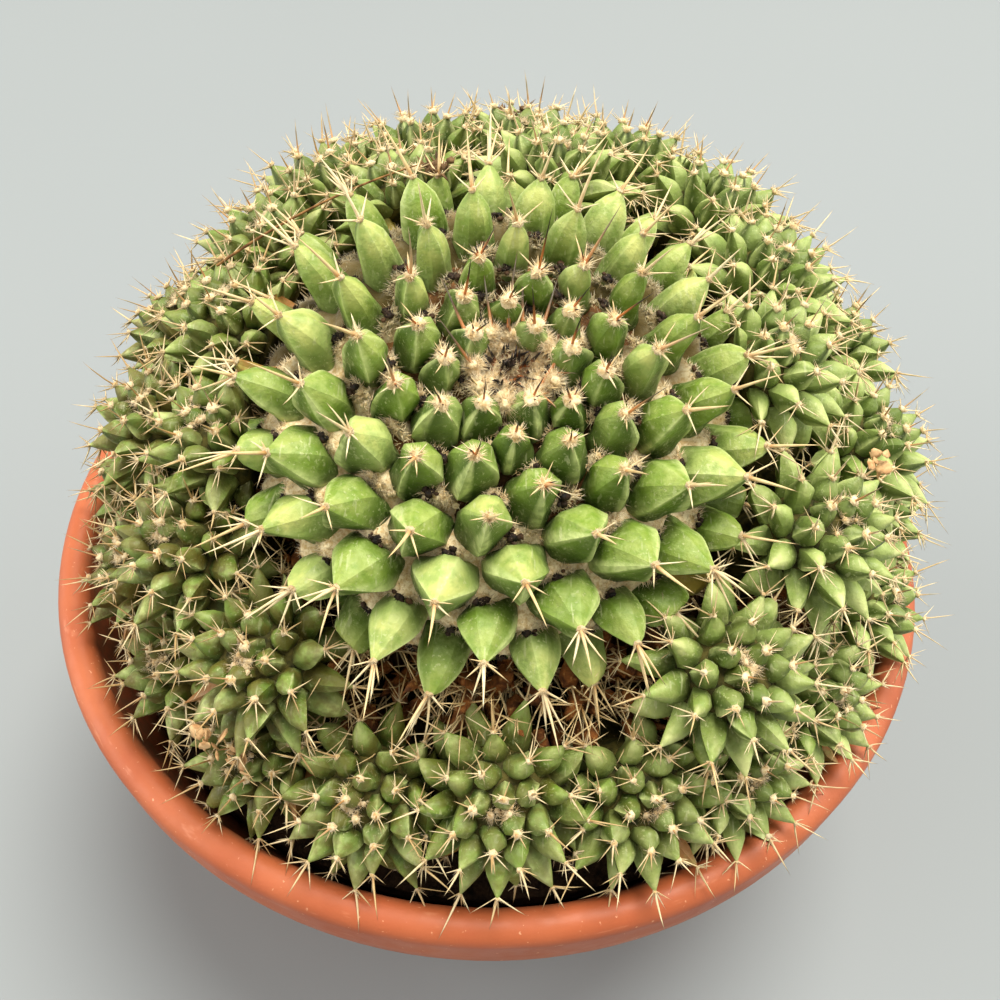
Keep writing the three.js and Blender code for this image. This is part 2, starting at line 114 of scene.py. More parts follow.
# Tubercles: distance between neighbours at the crown and at the skirt, and how far round the head they go
MOTHER_TUBERCLES = dict(crown=0.0054, skirt=0.0089, first=0.18, last=1.85, height=0.95, growth=0.5,
                        young=0.95)
OFFSET_TUBERCLES = dict(crown=0.0036, skirt=0.0048, first=0.2, last=1.95, height=0.9, growth=1.0,
                        young=0.55)
OFFSET_BODY_SHARE = 0.57
OFFSET_WIDTH = 1.05
OFFSET_RISE = 0.95
NEIGHBOUR_DISTANCE = 0.070
LEAN_TO_CROWN = 0.5
DROOP = 0.35
HIDDEN_SIDE = 0.5
CROWDING = 0.0012
MOTHER_STRETCH = 1.22
GOLDEN_ANGLE = math.pi * (3 - math.sqrt(5))
NECK_LENGTH = 0.027
NECK_DROP = 0.4

# Shapes of tubercles: sides and rings of the mesh, the widest cell and where it is cut back for the wool in
# spacings, where the shoulder is, how deep the root goes, and the angle from which an edge is a crease
MOTHER_LOOK = dict(sides=28, rings=(0, 0.1, 0.22, 0.32, 0.41, 0.49, 0.58, 0.7, 0.83, 0.93, 0.985),
                   widest=0.56, spread=1.01, pad_cut=0.37, shoulder=0.42, root=0.003,
                   crease=math.radians(20))
OFFSET_LOOK = dict(sides=12, rings=(0, 0.18, 0.36, 0.5, 0.75, 0.94), widest=0.62,
                   spread=0.98, pad_cut=0.44, shoulder=0.36, root=0.001, crease=math.radians(40))
KITE_FACETS = ((0, 0.98), (50, 0.96), (-50, 0.96), (128, 0.82), (-128, 0.82))
KITE_SHARPNESS = 50
YOUNG_BLUNTNESS = 0.1
TIP_ROUNDNESS = 0.08
BELLY = 0.05
# How far tubercles turn out from the crown's direction, in degrees, by their polar angle on the mother head
MOTHER_TURNOUT = ((0.18, 0.4, 0.6, 0.85, 1.1, 1.35, 1.6, 1.85), (-12, -5, 5, 23, 47, 74, 100, 118))
DRY_TUBERCLES = (83, 91, 99)

# Wool and dead parts of the mother head
PAD_SIZE = 0.0021
PAD_RISE = 0.0026
FELT_LEVEL = -0.0004
YOUNG_FURROW = 0.0024
UNDER_SKIRT = -0.16
CROWN_PIT = 0.0056
CROWN_RIM = 0.0026
NEW_SPINE_TURNS = (-120, -75, -40, -14, 12, 38, 72, 125)
NEW_SPINE_LEAN = np.array([0.0, 0.75, 0.65])
DEAD_AREOLES = 150
DEAD_POLAR = (1.74, 2.25)
DEAD_SPINES = 7
# The shaded hollow between the mother head and the front heads: how much litter, and where on the dome
LITTER_COUNT = 260
LITTER_AZIMUTH = (-62, 62)
LITTER_ELEVATION = (6, 26)
LITTER_DEPTH = (0.78, 0.93)

# Loose bits that lie on the clump, by their azimuth and elevation on the dome and how far out they are
STRAW_ENDS = ((-89, 53, 1.17), (-124, 77, 1.18))
STRAW_RADIUS = 0.00022
STRAW_ARCH = 0.2
DRIED_FLOWERS = ((-127, 78, 1.17), (-177, 51, 1.2), (179, 48, 1.21))
SCRAPS = ((-34, 15, 1.17), (-32, 11, 1.14), (62, 40, 1.18))

# Flesh: its colours from the painted shade in the furrows to the painted highlight on the tip
FLESH = {
    "main_flesh": ((42, 66, 6), (110, 138, 44), (168, 186, 112), (206, 206, 122)),
    "small_flesh": ((36, 56, 5), (104, 132, 40), (164, 182, 104), (208, 212, 144)),
}
# Plain dry surfaces: two colours
PLAIN = {
    # Painted shade: the core of the small heads, seen between their tubercles, is near-black green like the
    # shadow there
    "furrow_shade": ((34, 36, 9), (86, 78, 32)),
    "straw": ((92, 60, 32), (160, 118, 70)),
    "flower": ((66, 48, 32), (126, 96, 64)),
    "scrap": ((166, 122, 78), (226, 186, 136)),
}
DRY = dict(roughness=0.8, specular=0.25)
# Other surfaces: the first colour, layers over it (each a colour and what Paint.cover takes), the noise,
# depth and strength of the bump, and the roughness and shine
SURFACES = {
    # Matted cream wool with brownish dirt in it, and painted shade that browns it in the young furrows and on
    # the back of the mother head and darkens it there to olive
    "wool": ((208, 176, 122), [
        ((246, 228, 188), ((0.001, 5, 0.75), 0.36, 0.62)),
        ((118, 84, 42), "soiled"),
        ((136, 98, 52), ((0.0025, 3), 0.62, 0.78, 0, 0.3)),
        ((150, 108, 60), ((0.0006, 3), 0.58, 0.7, 0, 0.55)),
        ((56, 56, 20), "dark"),
    ], (0.0009, 4, 0.7), 0.00025, 0.8, dict(roughness=0.95, specular=0.15, sheen=0.3)),
    # Dead brown tissue and cork on the old stem
    "cork": ((58, 36, 22), [
        ((142, 98, 56), ((0.003, 5, 0.65), 0.3, 0.7)),
        ((196, 148, 92), ((0.0012, 3), 0.6, 0.72, 0, 0.7)),
        ((34, 24, 17), ((0.012, 3), 0.5, 0.7, 0, 0.7)),
    ], (0.0011, 5, 0.7), 0.0007, 0.9, dict(roughness=0.85, specular=0.25)),
    # Dried orange-brown tubercles under the skirt
    "dead": ((72, 40, 22), [
        ((164, 100, 48), ((0.0022, 4, 0.6), 0.3, 0.7)),
        ((206, 160, 96), ((0.0011, 3), 0.56, 0.72, 0, 0.6)),
    ], (0.0008, 5, 0.7), 0.0005, 0.9, DRY),
    # Dark dirt and dried remains between the tubercles
    "speck": ((14, 9, 7), [
        ((50, 32, 20), ((0.0008, 3), 0.35, 0.65)),
        ((92, 62, 34), ("tone", 0.5, 1, 0, 0.6)),
    ], (0.0004, 3), 0.0002, 0.8, dict(roughness=0.7, specular=0.3)),
    # Dark soil with some paler grit
    "soil_mix": ((24, 18, 14), [
        ((74, 54, 38), ((0.0016, 5, 0.7), 0.3, 0.7)),
        ((138, 112, 84), ("tone", 0.82, 1, 0, 0.7)),
    ], (0.0007, 5, 0.7), 0.0006, 0.9, dict(roughness=0.92, specular=0.2)),
    # Moulded terracotta colour: a slight sheen, faint mottling, pinkish-cream specks, fine scuffs, and
    # browner on the inside wall above the soil
    "pot_shell": ((164, 81, 45), [
        ((182, 99, 60), ((0.018, 4), 0.3, 0.7)),
        ((162, 74, 42), ((0.0045, 4), 0.45, 0.75, 0, 0.4)),
        ((232, 178, 140), ((0.0009, 2), 0.69, 0.75, 0, 0.5)),
        ((226, 160, 124), ((0.0025, 3, 0.6, (0.35, 0.35, 3)), 0.62, 0.75, 0, 0.22)),
        ((120, 84, 58), "dusty", ((0.003, 4), 0.35, 0.65, 0.1, 0.8)),
    ], (0.0006, 4), 0.00008, 0.5, dict(roughness=((0.006, 3), 0.3, 0.7, 0.46, 0.62), specular=0.4)),
}

# The camera, fitted to the rim of the pot, and the lights: place, size, power and colour
CAMERA_DISTANCE = 0.204
CAMERA_ELEVATION = math.radians(49.9)
CAMERA_PAN = math.radians(0.48)
CAMERA_TILT = math.radians(0.38)
CAMERA_ROLL = math.radians(2.5)
CAMERA_LENS = 36.0
CAMERA_SENSOR = 36.0
LIGHTS = {
    "key": ((0.34, 0.3, 2.0), 1.1, 62.0, (1.0, 0.97, 0.88)),
    "fill": ((-1.7, -0.2, 0.9), 1.8, 29.0, (1.0, 0.98, 0.94)),
    "side": ((1.7, 0.1, 0.9), 1.6, 14.0, (1.0, 0.98, 0.94)),
}
LIGHT_TARGET = (0.0, 0.0, 0.11)
WORLD_COLOUR = (1.0, 0.98, 0.89, 1)
WORLD_STRENGTH = 0.64


def draw(seed):
    """A number from 0 to 1 that is always the same for the same seed, as in the CAD model."""
    wave = math.sin(seed * 12.9898 + 4.1414) * 43758.5453
    return wave - math.floor(wave)


def drawn(rng, value, count):
    """A number for each of count things: drawn between two limits, or the value as it is given."""
    return rng.uniform(*value, count) if isinstance(value, tuple) else np.broadcast_to(value, count)


def unit(vectors):
    return vectors / np.linalg.norm(vectors, axis=-1, keepdims=True)


def smooth(value):
    value = np.clip(value, 0, 1)
    return value * value * (3 - 2 * value)


def columns(places, *keys):
    """One array for each named value of the places."""
    return [np.array([getattr(place, key) for place in places]) for key in keys]


def srgb(*colour):
    """A screen colour in 0 to 255, as the linear colour that a shader takes."""
    shares = [value / 255 for value in colour]
    return [share / 12.92 if share <= 0.04045 else ((share + 0.055) / 1.055) ** 2.4 for share in shares] + [1]


class Pile:
    """Points, faces and painted values of one piece, gathered from many small shapes."""

    def __init__(self):
        self.points = []
        self.loops = []
        self.totals = []
        self.slots = []
        self.values = {}
        self.count = 0

    def add(self, points, faces, slot=0, **values):
        """faces is a list of whole-number arrays, each with one face in a row."""
        points = np.asarray(points, float).reshape(-1, 3)
        for key in values:
            self.values.setdefault(key, [np.zeros(self.count)])
        for key, parts in self.values.items():
            parts.append(np.broadcast_to(np.ravel(values.get(key, 0.0)), len(points)))
        for face in faces:
            self.loops.append((face + self.count).ravel())
            self.totals.append(np.full(len(face), face.shape[1]))
            self.slots.append(np.full(len(face), slot))
        self.points.append(points)
        self.count += len(points)

    def build(self, name, *materials, smooth_shading=True, crease=None):
        """Makes the piece. Where a crease angle is given, edges that are sharper show as creases."""
        mesh = bpy.data.meshes.new(name)
        loops, totals = np.concatenate(self.loops), np.concatenate(self.totals)
        mesh.vertices.add(self.count)
        mesh.loops.add(len(loops))
        mesh.polygons.add(len(totals))
        mesh.vertices.foreach_set("co", np.concatenate(self.points).astype(np.float32).ravel())
        mesh.loops.foreach_set("vertex_index", loops.astype(np.int32))
        starts = np.concatenate([[0], np.cumsum(totals)[:-1]])
        for key, values in (("loop_start", starts), ("loop_total", totals),
                            ("material_index", np.concatenate(self.slots))):
            mesh.polygons.foreach_set(key, values.astype(np.int32))
        mesh.polygons.foreach_set("use_smooth", np.full(len(totals), smooth_shading))
        for key in materials:
            mesh.materials.append(material(key))
        for key, parts in self.values.items():
            attribute = mesh.attributes.new(key, "FLOAT", "POINT")
            attribute.data.foreach_set("value", np.concatenate(parts).astype(np.float32))
        mesh.update(calc_edges=True)
        mesh.validate()
        if crease:
            mesh.set_sharp_from_angle(angle=crease)
        piece = bpy.data.objects.new(name, mesh)
        bpy.context.scene.collection.objects.link(piece)
        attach(piece, "root")
        return piece


def ring_faces(rings, sides):
    """Four-sided faces between rings of points that follow one another."""
    row, column = np.meshgrid(np.arange(rings - 1), np.arange(sides), indexing="ij")
    a = row * sides + column
    b = row * sides + (column + 1) % sides
    return np.stack([a, b, b + sides, a + sides], -1).reshape(-1, 4)


def fan_faces(tip, first, sides, turned=False):
    column = np.arange(sides)
    following = (column + 1) % sides
    ends = (following, column) if turned else (column, following)
    return np.stack([first + ends[0], first + ends[1], np.full(sides, tip)], -1)


def repeat_faces(faces, copies, stride):
    """The same faces for each of a number of equal shapes."""
    shift = (np.arange(copies) * stride)[:, None, None]
    return (faces[None] + shift).reshape(-1, faces.shape[1])


def per_point(values, count, stride):
    """The values of a number of equal shapes, repeated for all the points of each."""
    return {key: np.repeat(np.broadcast_to(value, count), stride) for key, value in values.items()}


def lathe(profile, sides):
    """Points and faces of a profile of (radius, height) turned about Z. It starts and ends on the axis."""
    profile = np.array(profile)
    turn = np.arange(sides) * 2 * math.pi / sides
    inner = profile[1:-1]
    rings = np.stack([inner[:, :1] * np.cos(turn), inner[:, :1] * np.sin(turn),
                      np.repeat(inner[:, 1:], sides, 1)], -1).reshape(-1, 3)
    points = np.concatenate([rings, [[0, 0, profile[0][1]]], [[0, 0, profile[-1][1]]]])
    return points, [ring_faces(len(inner), sides), fan_faces(len(rings), 0, sides, True),
                    fan_faces(len(rings) + 1, len(rings) - sides, sides)]


def ball(subdivisions):
    """Points and faces of a round ball of radius 1."""
    sphere = bmesh.new()
    bmesh.ops.create_icosphere(sphere, subdivisions=subdivisions, radius=1)
    points = np.array([vertex.co for vertex in sphere.verts])
    faces = np.array([[vertex.index for vertex in face.verts] for face in sphere.faces])
    sphere.free()
    return points, faces


def rough(points, scale, amount, seed=0.0):
    """How far smooth noise moves each point, from -amount to amount."""
    shift = Vector((seed, seed * 1.7, seed * 2.3))
    return np.array([amount * noise.noise(Vector(point) / scale + shift) for point in points])


def head_frame(middle, axis, spin):
    across = np.array([0.0, 1.0, 0.0] if abs(axis[0]) > 0.9 else [1.0, 0.0, 0.0])
    side = unit(np.cross(axis, across))
    return SimpleNamespace(middle=middle, axis=axis, side=side, front=np.cross(side, axis), spin=spin)


def across_head(head, turns):
    """Directions square to the axis of a head."""
    return head.side * np.cos(turns)[:, None] + head.front * np.sin(turns)[:, None]


def on_dome(azimuth, elevation, share=1.0):
    """Places on the dome of small heads: share 1 is where their middles are, more is further out."""
    turn, climb = np.radians(azimuth), np.radians(elevation)
    spot = np.stack([np.cos(climb) * np.sin(turn), -np.cos(climb) * np.cos(turn), np.sin(climb)], -1)
    return DOME_CENTRE + spot * DOME_AXES * np.asarray(share)[..., None], spot


def offset_head(number, entry):
    """One small head: where it stands, how woolly it is, how much its colours are browned (most on the left
    and front) and how much painted light makes them lighter (most on the right and on top), by its side of
    the clump.
    """
    azimuth, elevation, reach = entry
    middle, spot = on_dome(azimuth, elevation)
    outward = unit(spot / DOME_AXES)
    axis = unit(outward + np.array([0, 0, GROWTH_UPWARDS]))
    head = head_frame(middle, axis, 2 * math.pi * draw(number))
    head.number, head.outward, head.reach = number, outward, reach
    to_right = math.sin(math.radians(azimuth))
    head.woolly = smooth((elevation - 15) / 40)
    # The colours are browned most on the left and front of the clump and least on the right and on top
    head.dusty = np.clip(0.52 - 0.5 * to_right, 0, 1) * (1 - 0.6 * head.woolly)
    # Painted light: heads on the right and on top of the clump are made lighter, as the light falls there
    head.pale = 0.62 * np.clip(to_right + 0.3 * head.woolly, 0, 1)
    return head


def mother_head():
    lean, turn = MOTHER_LEAN, MOTHER_TURN
    axis = np.array([math.sin(turn), -math.sin(lean) * math.cos(turn), math.cos(lean) * math.cos(turn)])
    return head_frame(MOTHER_MIDDLE, axis, MOTHER_SPIN)


def plane_between(own, own_reach, other, other_reach):
    """The plane between two neighbouring heads, nearer to the smaller one, as (point, normal)."""
    distance = np.linalg.norm(other - own)
    share = (distance ** 2 + own_reach ** 2 - other_reach ** 2) / (2 * distance)
    normal = (other - own) / distance
    return own + normal * (share - GAP / 2), normal


def keep_inside(points, planes):
    """Eases what comes near a plane back, so that it goes at most a little way over it."""
    for point, normal in planes:
        beyond = np.maximum((points - point) @ normal + 0.5 * CROWDING, 0)
        eased = CROWDING * (1 - np.exp(-beyond / CROWDING))
        points = points - (beyond - eased)[..., None] * normal
    return points


def bend_clear(place, planes):
    """Turns a tubercle along a plane that its tip would cross."""
    for point, normal in planes:
        tip = place.base + place.direction * place.height
        beyond = (tip - point) @ normal - 0.0004
        if beyond > 0:
            place.direction = unit(place.direction - normal * min(1.2, beyond / place.height))


def inner_wall_radius(height):
    outer_top = RIM_RADIUS - BAND_STEP
    outer = BASE_RADIUS + (outer_top - BASE_RADIUS) * (height / (POT_HEIGHT - BAND_HEIGHT))
    return np.minimum(outer - WALL, RIM_INNER_RADIUS - 0.002)


def keep_off_pot(points):
    """Moves points out of the pot's wall: over the rim if they are near its top, and else inwards."""
    points = points.copy()
    radius = np.hypot(points[:, 0], points[:, 1])
    height = points[:, 2]
    room = np.where(height > POT_HEIGHT - 0.005, RIM_INNER_RADIUS, inner_wall_radius(height)) - 2 * GAP
    inside = (height < POT_HEIGHT + GAP) & (radius > room)
    lift = inside & (POT_HEIGHT + GAP - height < radius - room)
    shrink = np.where(inside & ~lift, room / np.maximum(radius, 1e-6), 1)
    points[:, :2] *= shrink[:, None]
    points[:, 2] = np.maximum(np.where(lift, POT_HEIGHT + GAP, height), SOIL_TOP + GAP)
    return points


def tubercle_lattice(head, radius, rise, rule):
    """The tubercles' places by the golden angle, wider apart from the crown to the skirt."""
    places = []
    polar = rule["first"]
    while polar < rule["last"]:
        number = len(places)
        age = min(1, max(0, (polar - rule["first"]) / rule["growth"]))
        spacing = rule["crown"] + (rule["skirt"] - rule["crown"]) * age
        turn = number * GOLDEN_ANGLE + head.spin
        sin, cos = math.sin(polar), math.cos(polar)
        across = head.side * math.cos(turn) + head.front * math.sin(turn)
        base = head.middle + across * radius * sin + head.axis * rise * cos
        normal = unit(across * sin / radius + head.axis * cos / rise)
        if polar < math.pi / 2:
            lean = LEAN_TO_CROWN * (1 - age)
        else:
            lean = -DROOP * min(1, max(0, (polar - 1.4) / 0.4))
        height = rule["height"] * spacing * (rule["young"] + (1 - rule["young"]) * age)
        places.append(SimpleNamespace(base=base, normal=normal, direction=unit(normal + head.axis * lean),
                                      height=height, spacing=spacing, age=age, polar=polar, number=number))
        arc = math.hypot(radius * cos, rise * sin)
        polar += 0.866 * spacing ** 2 / (2 * math.pi * radius * sin * arc)
    return places


def hull_triangles(directions):
    """The triangles of neighbours among points on a ball."""
    hull = bmesh.new()
    tag = hull.verts.layers.int.new("number")
    for number, direction in enumerate(directions):
        hull.verts.new(direction)[tag] = number
    bmesh.ops.convex_hull(hull, input=hull.verts)
    triangles = []
    for face in hull.faces:
        corners = [vertex[tag] for vertex in face.verts]
        triangles += [[corners[0], corners[k], corners[k + 1]] for k in range(1, len(corners) - 1)]
    hull.free()
    return triangles


def valleys_between(middle, places, extra):
    """For each tubercle the low points round it, one in each triangle of neighbours."""
    bases = np.array([place.base for place in places] + list(extra))
    around = [[] for _ in bases]
    for corners in hull_triangles(unit(bases - middle)):
        low = bases[corners].mean(0)
        reach = np.linalg.norm(bases[corners] - middle, axis=1).mean()
        length = np.linalg.norm(low - middle)
        low = middle + (low - middle) * (0.5 * (reach + length) / length)
        for corner in corners:
            around[corner].append(low)
    return around[:len(places)]


def footprint(place, lows, turns, widest):
    """The cell of a tubercle: its radius and its drop under the base at each turn, from the crown's side."""
    offsets = np.array(lows) - place.base
    x, y, drops = offsets @ place.crownward, offsets @ place.sideways, offsets @ place.normal
    order = np.argsort(np.arctan2(y, x))
    x, y, drops = x[order], y[order], drops[order]
    angles = np.arctan2(y, x)
    turns = np.where(turns > math.pi, turns - 2 * math.pi, turns)
    after = np.searchsorted(angles, turns) % len(angles)
    before = after - 1
    miss_before, miss_after = (np.cos(turns) * y[near] - np.sin(turns) * x[near] for near in (before, after))
    share = np.clip(miss_before / (miss_before - miss_after + 1e-12), 0, 1)
    x, y, drop = (value[before] + share * (value[after] - value[before]) for value in (x, y, drops))
    radius = np.hypot(x, y)
    cut = np.minimum(1, widest * place.spacing / np.maximum(radius, 1e-9))
    return np.maximum(radius * cut, 0.3 * place.spacing), drop * cut


def kite(turns, marks):
    """The radius of a tubercle's outline halfway up: round to the crown, a keel on the other side."""
    total = 0
    for number, (facet, distance) in enumerate(KITE_FACETS):
        shift = math.radians(12) * (marks[:, number:number + 1] - 0.5)
        reach = distance * (0.92 + 0.16 * marks[:, 4 - number:5 - number])
        total = total + np.maximum(np.cos(turns - math.radians(facet) - shift) / reach, 0) ** KITE_SHARPNESS
    return total ** (-1 / KITE_SHARPNESS)


def tubercle_shapes(pile, places, around, look, keep, dusty=0.0, pale=0.0):
    """One closed fat pyramid for each tubercle: its cell at the foot, a kite halfway, round at the tip."""
    count, sides = len(places), look["sides"]
    turn = np.arange(sides) * 2 * math.pi / sides
    cells = [footprint(place, lows, turn, look["widest"]) for place, lows in zip(places, around)]
    radius, drop = (np.array(values) for values in zip(*cells))
    base, normal, direction, crownward = (column[:, None] for column in columns(
        places, "base", "normal", "direction", "crownward"))
    height, tone, dry, age, finger, pad_turn, spacing = (column[:, None] for column in columns(
        places, "height", "tone", "dry", "age", "finger", "pad_turn", "spacing"))
    marks, = columns(places, "marks")
    cut = look["pad_cut"] * spacing / np.maximum(np.cos(turn - pad_turn), 0.05)
    radius = ((radius * look["spread"] * (1 - 0.26 * finger)) ** -8 + cut ** -8) ** (-1 / 8)
    # The width at each ring: sides that close in slowly, then the shoulder and the tip
    steps = np.array(look["rings"])
    step = steps[:, None]
    shoulder = look["shoulder"] + YOUNG_BLUNTNESS * (1 - age) + 0.17 * finger
    sides_in = 1 - (0.14 + 0.26 * finger) * steps
    top_in = (1.015 - steps) / (1 - shoulder)
    width = (sides_in ** -7 + top_in ** -7) ** (-1 / 7) * (1 - 0.42 * dry * smooth(steps * 3))
    section = kite(turn, marks)
    outline = section[:, None]
    outline = outline + (1 - outline) * (TIP_ROUNDNESS * smooth((step - 0.6) / 0.4))
    mean = radius.mean(1)[:, None, None]
    radius = radius[:, None]
    spread = (radius + (mean * outline - radius) * smooth(step / 0.38)) * width[..., None]
    wrinkle = np.sin(5 * turn + 6.28 * tone)[:, None] * dry[..., None] * smooth(step * 4)
    spread = (spread * (1 + 0.16 * wrinkle))[..., None]
    # The line up the middle, which starts along the normal and bends into the direction
    line = unit(normal + (direction - normal) * step)
    up = unit(crownward - line * np.sum(crownward * line, -1, keepdims=True))
    across = np.cross(line, up)[:, :, None]
    tall = height[..., None]
    middle = base + tall * (normal * (0.5 * step * (1 - step)) + direction * step * (0.5 + 0.5 * step))
    middle = middle + up * (BELLY * np.sin(math.pi * step) ** 1.5 * tall)
    up = up[:, :, None]
    points = middle[:, :, None] + spread * (np.cos(turn)[:, None] * up + np.sin(turn)[:, None] * across)
    points = points + (drop[:, None] * (1 - step) ** 1.5)[..., None] * normal[:, None]
    foot = points[:, :1] - normal[:, None] * look["root"]
    foot = foot + (base[:, None] - foot) * 0.08
    points = np.concatenate([foot, points], 1).reshape(count, -1, 3)
    block = np.concatenate([points, base + direction * tall, base - normal * 2 * look["root"]], 1)
    total = len(steps) + 1
    last = total * sides
    faces = [repeat_faces(part, count, last + 2) for part in (
        ring_faces(total, sides), fan_faces(last, last - sides, sides), fan_faces(last + 1, 0, sides, True))]
    # Painted highlight along the edges of the facets, where the outline has its corners
    ridge = np.concatenate([np.tile(smooth((section - 1.03) / 0.12), (1, total)), np.zeros((count, 2))], 1)
    rise = np.concatenate([np.zeros(sides), np.repeat(steps, sides), [1, 0]])
    # The upside, 1 towards the crown and -1 below, places the painted highlight and the painted shade of the
    # lower faces
    upside = np.concatenate([np.tile(np.cos(turn), total), [0, 0]])
    # The tone is raised by the head's painted light, so more of the light flesh colour shows
    values = dict(ridge=ridge, rise=rise, upside=upside, tone=tone + pale, age=age, dry=dry, dusty=dusty)
    pile.add(keep(block.reshape(-1, 3)), faces,
             **{key: np.broadcast_to(value, (count, last + 2)) for key, value in values.items()})


def finish_places(places, head, seed):
    """Gives each tubercle its own small turn, tone and height, and its direction to the crown."""
    for place in places:
        mark = 3 * (seed + place.number)
        place.crownward = unit(head.axis - place.normal * (head.axis @ place.normal))
        place.sideways = np.cross(place.normal, place.crownward)
        place.tone = draw(mark + 1)
        place.marks = [draw(mark + 0.2 * part) for part in range(1, 6)]
        place.dry = place.finger = place.pad_turn = 0.0
        place.height *= 0.92 + 0.16 * draw(mark + 2)
        place.direction = unit(place.direction + place.sideways * (0.12 * (draw(mark + 3) - 0.5)))


def set_tips(places, keep):
    """The point of each tubercle where its areole grows, eased back like its flesh."""
    tips = keep(np.array([place.base + place.direction * place.height for place in places]))
    for place, tip in zip(places, tips):
        place.tip = tip


def find_pads(places, around):
    """The low point just above each tubercle, where its pad of wool grows."""
    for place, lows in zip(places, around):
        offsets = np.array(lows) - place.base
        offsets -= (offsets @ place.normal)[:, None] * place.normal
        best = int(np.argmax(unit(offsets) @ place.crownward))
        place.pad = lows[best]
        place.pad_turn = math.atan2(offsets[best] @ place.sideways, offsets[best] @ place.crownward)


def threads(pile, roots, directions, lengths, radii, bends, sides, parts, slot=0, power=0.8, **values):
    """Adds thin curved shapes that end in a point, all at once."""
    roots, directions, bends, lengths, radii = (np.asarray(value, float) for value in (
        roots, directions, bends, lengths, radii))
    count = len(roots)
    if count == 0:
        return
    steps = np.arange(parts) / parts
    helper = np.where(np.abs(directions[:, 2:3]) > 0.9, [[1.0, 0, 0]], [[0, 0, 1.0]])
    side = unit(np.cross(directions, helper))
    other = np.cross(directions, side)
    turn = np.arange(sides) * 2 * math.pi / sides
    line = (roots[:, None] + directions[:, None] * (lengths[:, None] * steps)[..., None]
            + bends[:, None] * (lengths[:, None] * steps ** 2)[..., None])
    width = radii[:, None] * (1 - steps ** 1.6)[None] ** power
    ring = np.cos(turn)[:, None] * side[:, None] + np.sin(turn)[:, None] * other[:, None]
    points = line[:, :, None] + width[..., None, None] * ring[:, None]
    tip = roots + directions * lengths[:, None] + bends * lengths[:, None]
    stride = parts * sides + 1
    block = np.concatenate([points.reshape(count, -1, 3), tip[:, None]], 1)
    faces = [repeat_faces(fan_faces(parts * sides, (parts - 1) * sides, sides), count, stride)]
    if parts > 1:
        faces.append(repeat_faces(ring_faces(parts, sides), count, stride))
    along = np.tile(np.concatenate([np.repeat(steps, sides), [1]]), count)
    pile.add(block, faces, slot, along=along, **per_point(values, count, stride))


def grow(pile, rng, roots, directions, lengths, radii, bend, sides, parts, **rest):
    """Threads whose lengths, widths, bends and painted values are drawn between limits."""
    count = len(roots)
    shape = drawn(rng, lengths, count), drawn(rng, radii, count), rng.normal(0, bend, (count, 3))
    for key, value in rest.items():
        if isinstance(value, tuple):
            rest[key] = drawn(rng, value, count)
    threads(pile, roots, directions, *shape, sides, parts, **rest)


def scattered(rng, directions, amount):
    """Directions turned aside by chance."""
    return unit(directions + rng.normal(0, amount, directions.shape))


def sideways_of(rng, directions):
    """A chance direction square to each direction."""
    other = rng.normal(0, 1, directions.shape)
    return unit(other - directions * np.sum(other * directions, 1, keepdims=True))


def lumps(pile, rng, middles, normals, sizes, flat, shape, slot=0, **values):
    """Adds small uneven balls, flattened along their normals."""
    unit_points, faces = shape
    count, each = len(middles), len(unit_points)
    sizes = drawn(rng, sizes, count)
    values = {key: drawn(rng, value, count) for key, value in values.items()}
    uneven = 1 + rng.normal(0, 0.16, (count, each, 1))
    offsets = unit_points[None] * uneven * sizes[:, None, None]
    along = np.einsum("kpi,ki->kp", offsets, normals)[..., None] * normals[:, None]
    points = middles[:, None] + (offsets - (1 - flat) * along)
    pile.add(points, [repeat_faces(faces, count, each)], slot, **per_point(values, count, each))


def tufts(pile, rng, middles, normals, sizes, lengths, each, spread, radius=0.00005, **values):
    """Adds a tuft of fine curly wool at each place."""
    count = len(middles)
    values = {key: drawn(rng, value, count) for key, value in values.items()}
    which = np.repeat(np.arange(count), each)
    many = len(which)
    normal = normals[which]
    size, length = (np.broadcast_to(value, count)[which] for value in (sizes, lengths))
    length = length * rng.uniform(0.5, 1.2, many)
    aside = sideways_of(rng, normal) * rng.uniform(0, 1, (many, 1)) ** 0.5
    directions = unit(normal * rng.uniform(0.25, 1, (many, 1)) + aside * spread)
    bends = sideways_of(rng, directions) * rng.uniform(0.2, 0.8, (many, 1))
    threads(pile, middles[which] + aside * size[:, None], directions, length, np.full(many, radius), bends,
            3, 1, **{key: value[which] for key, value in values.items()})


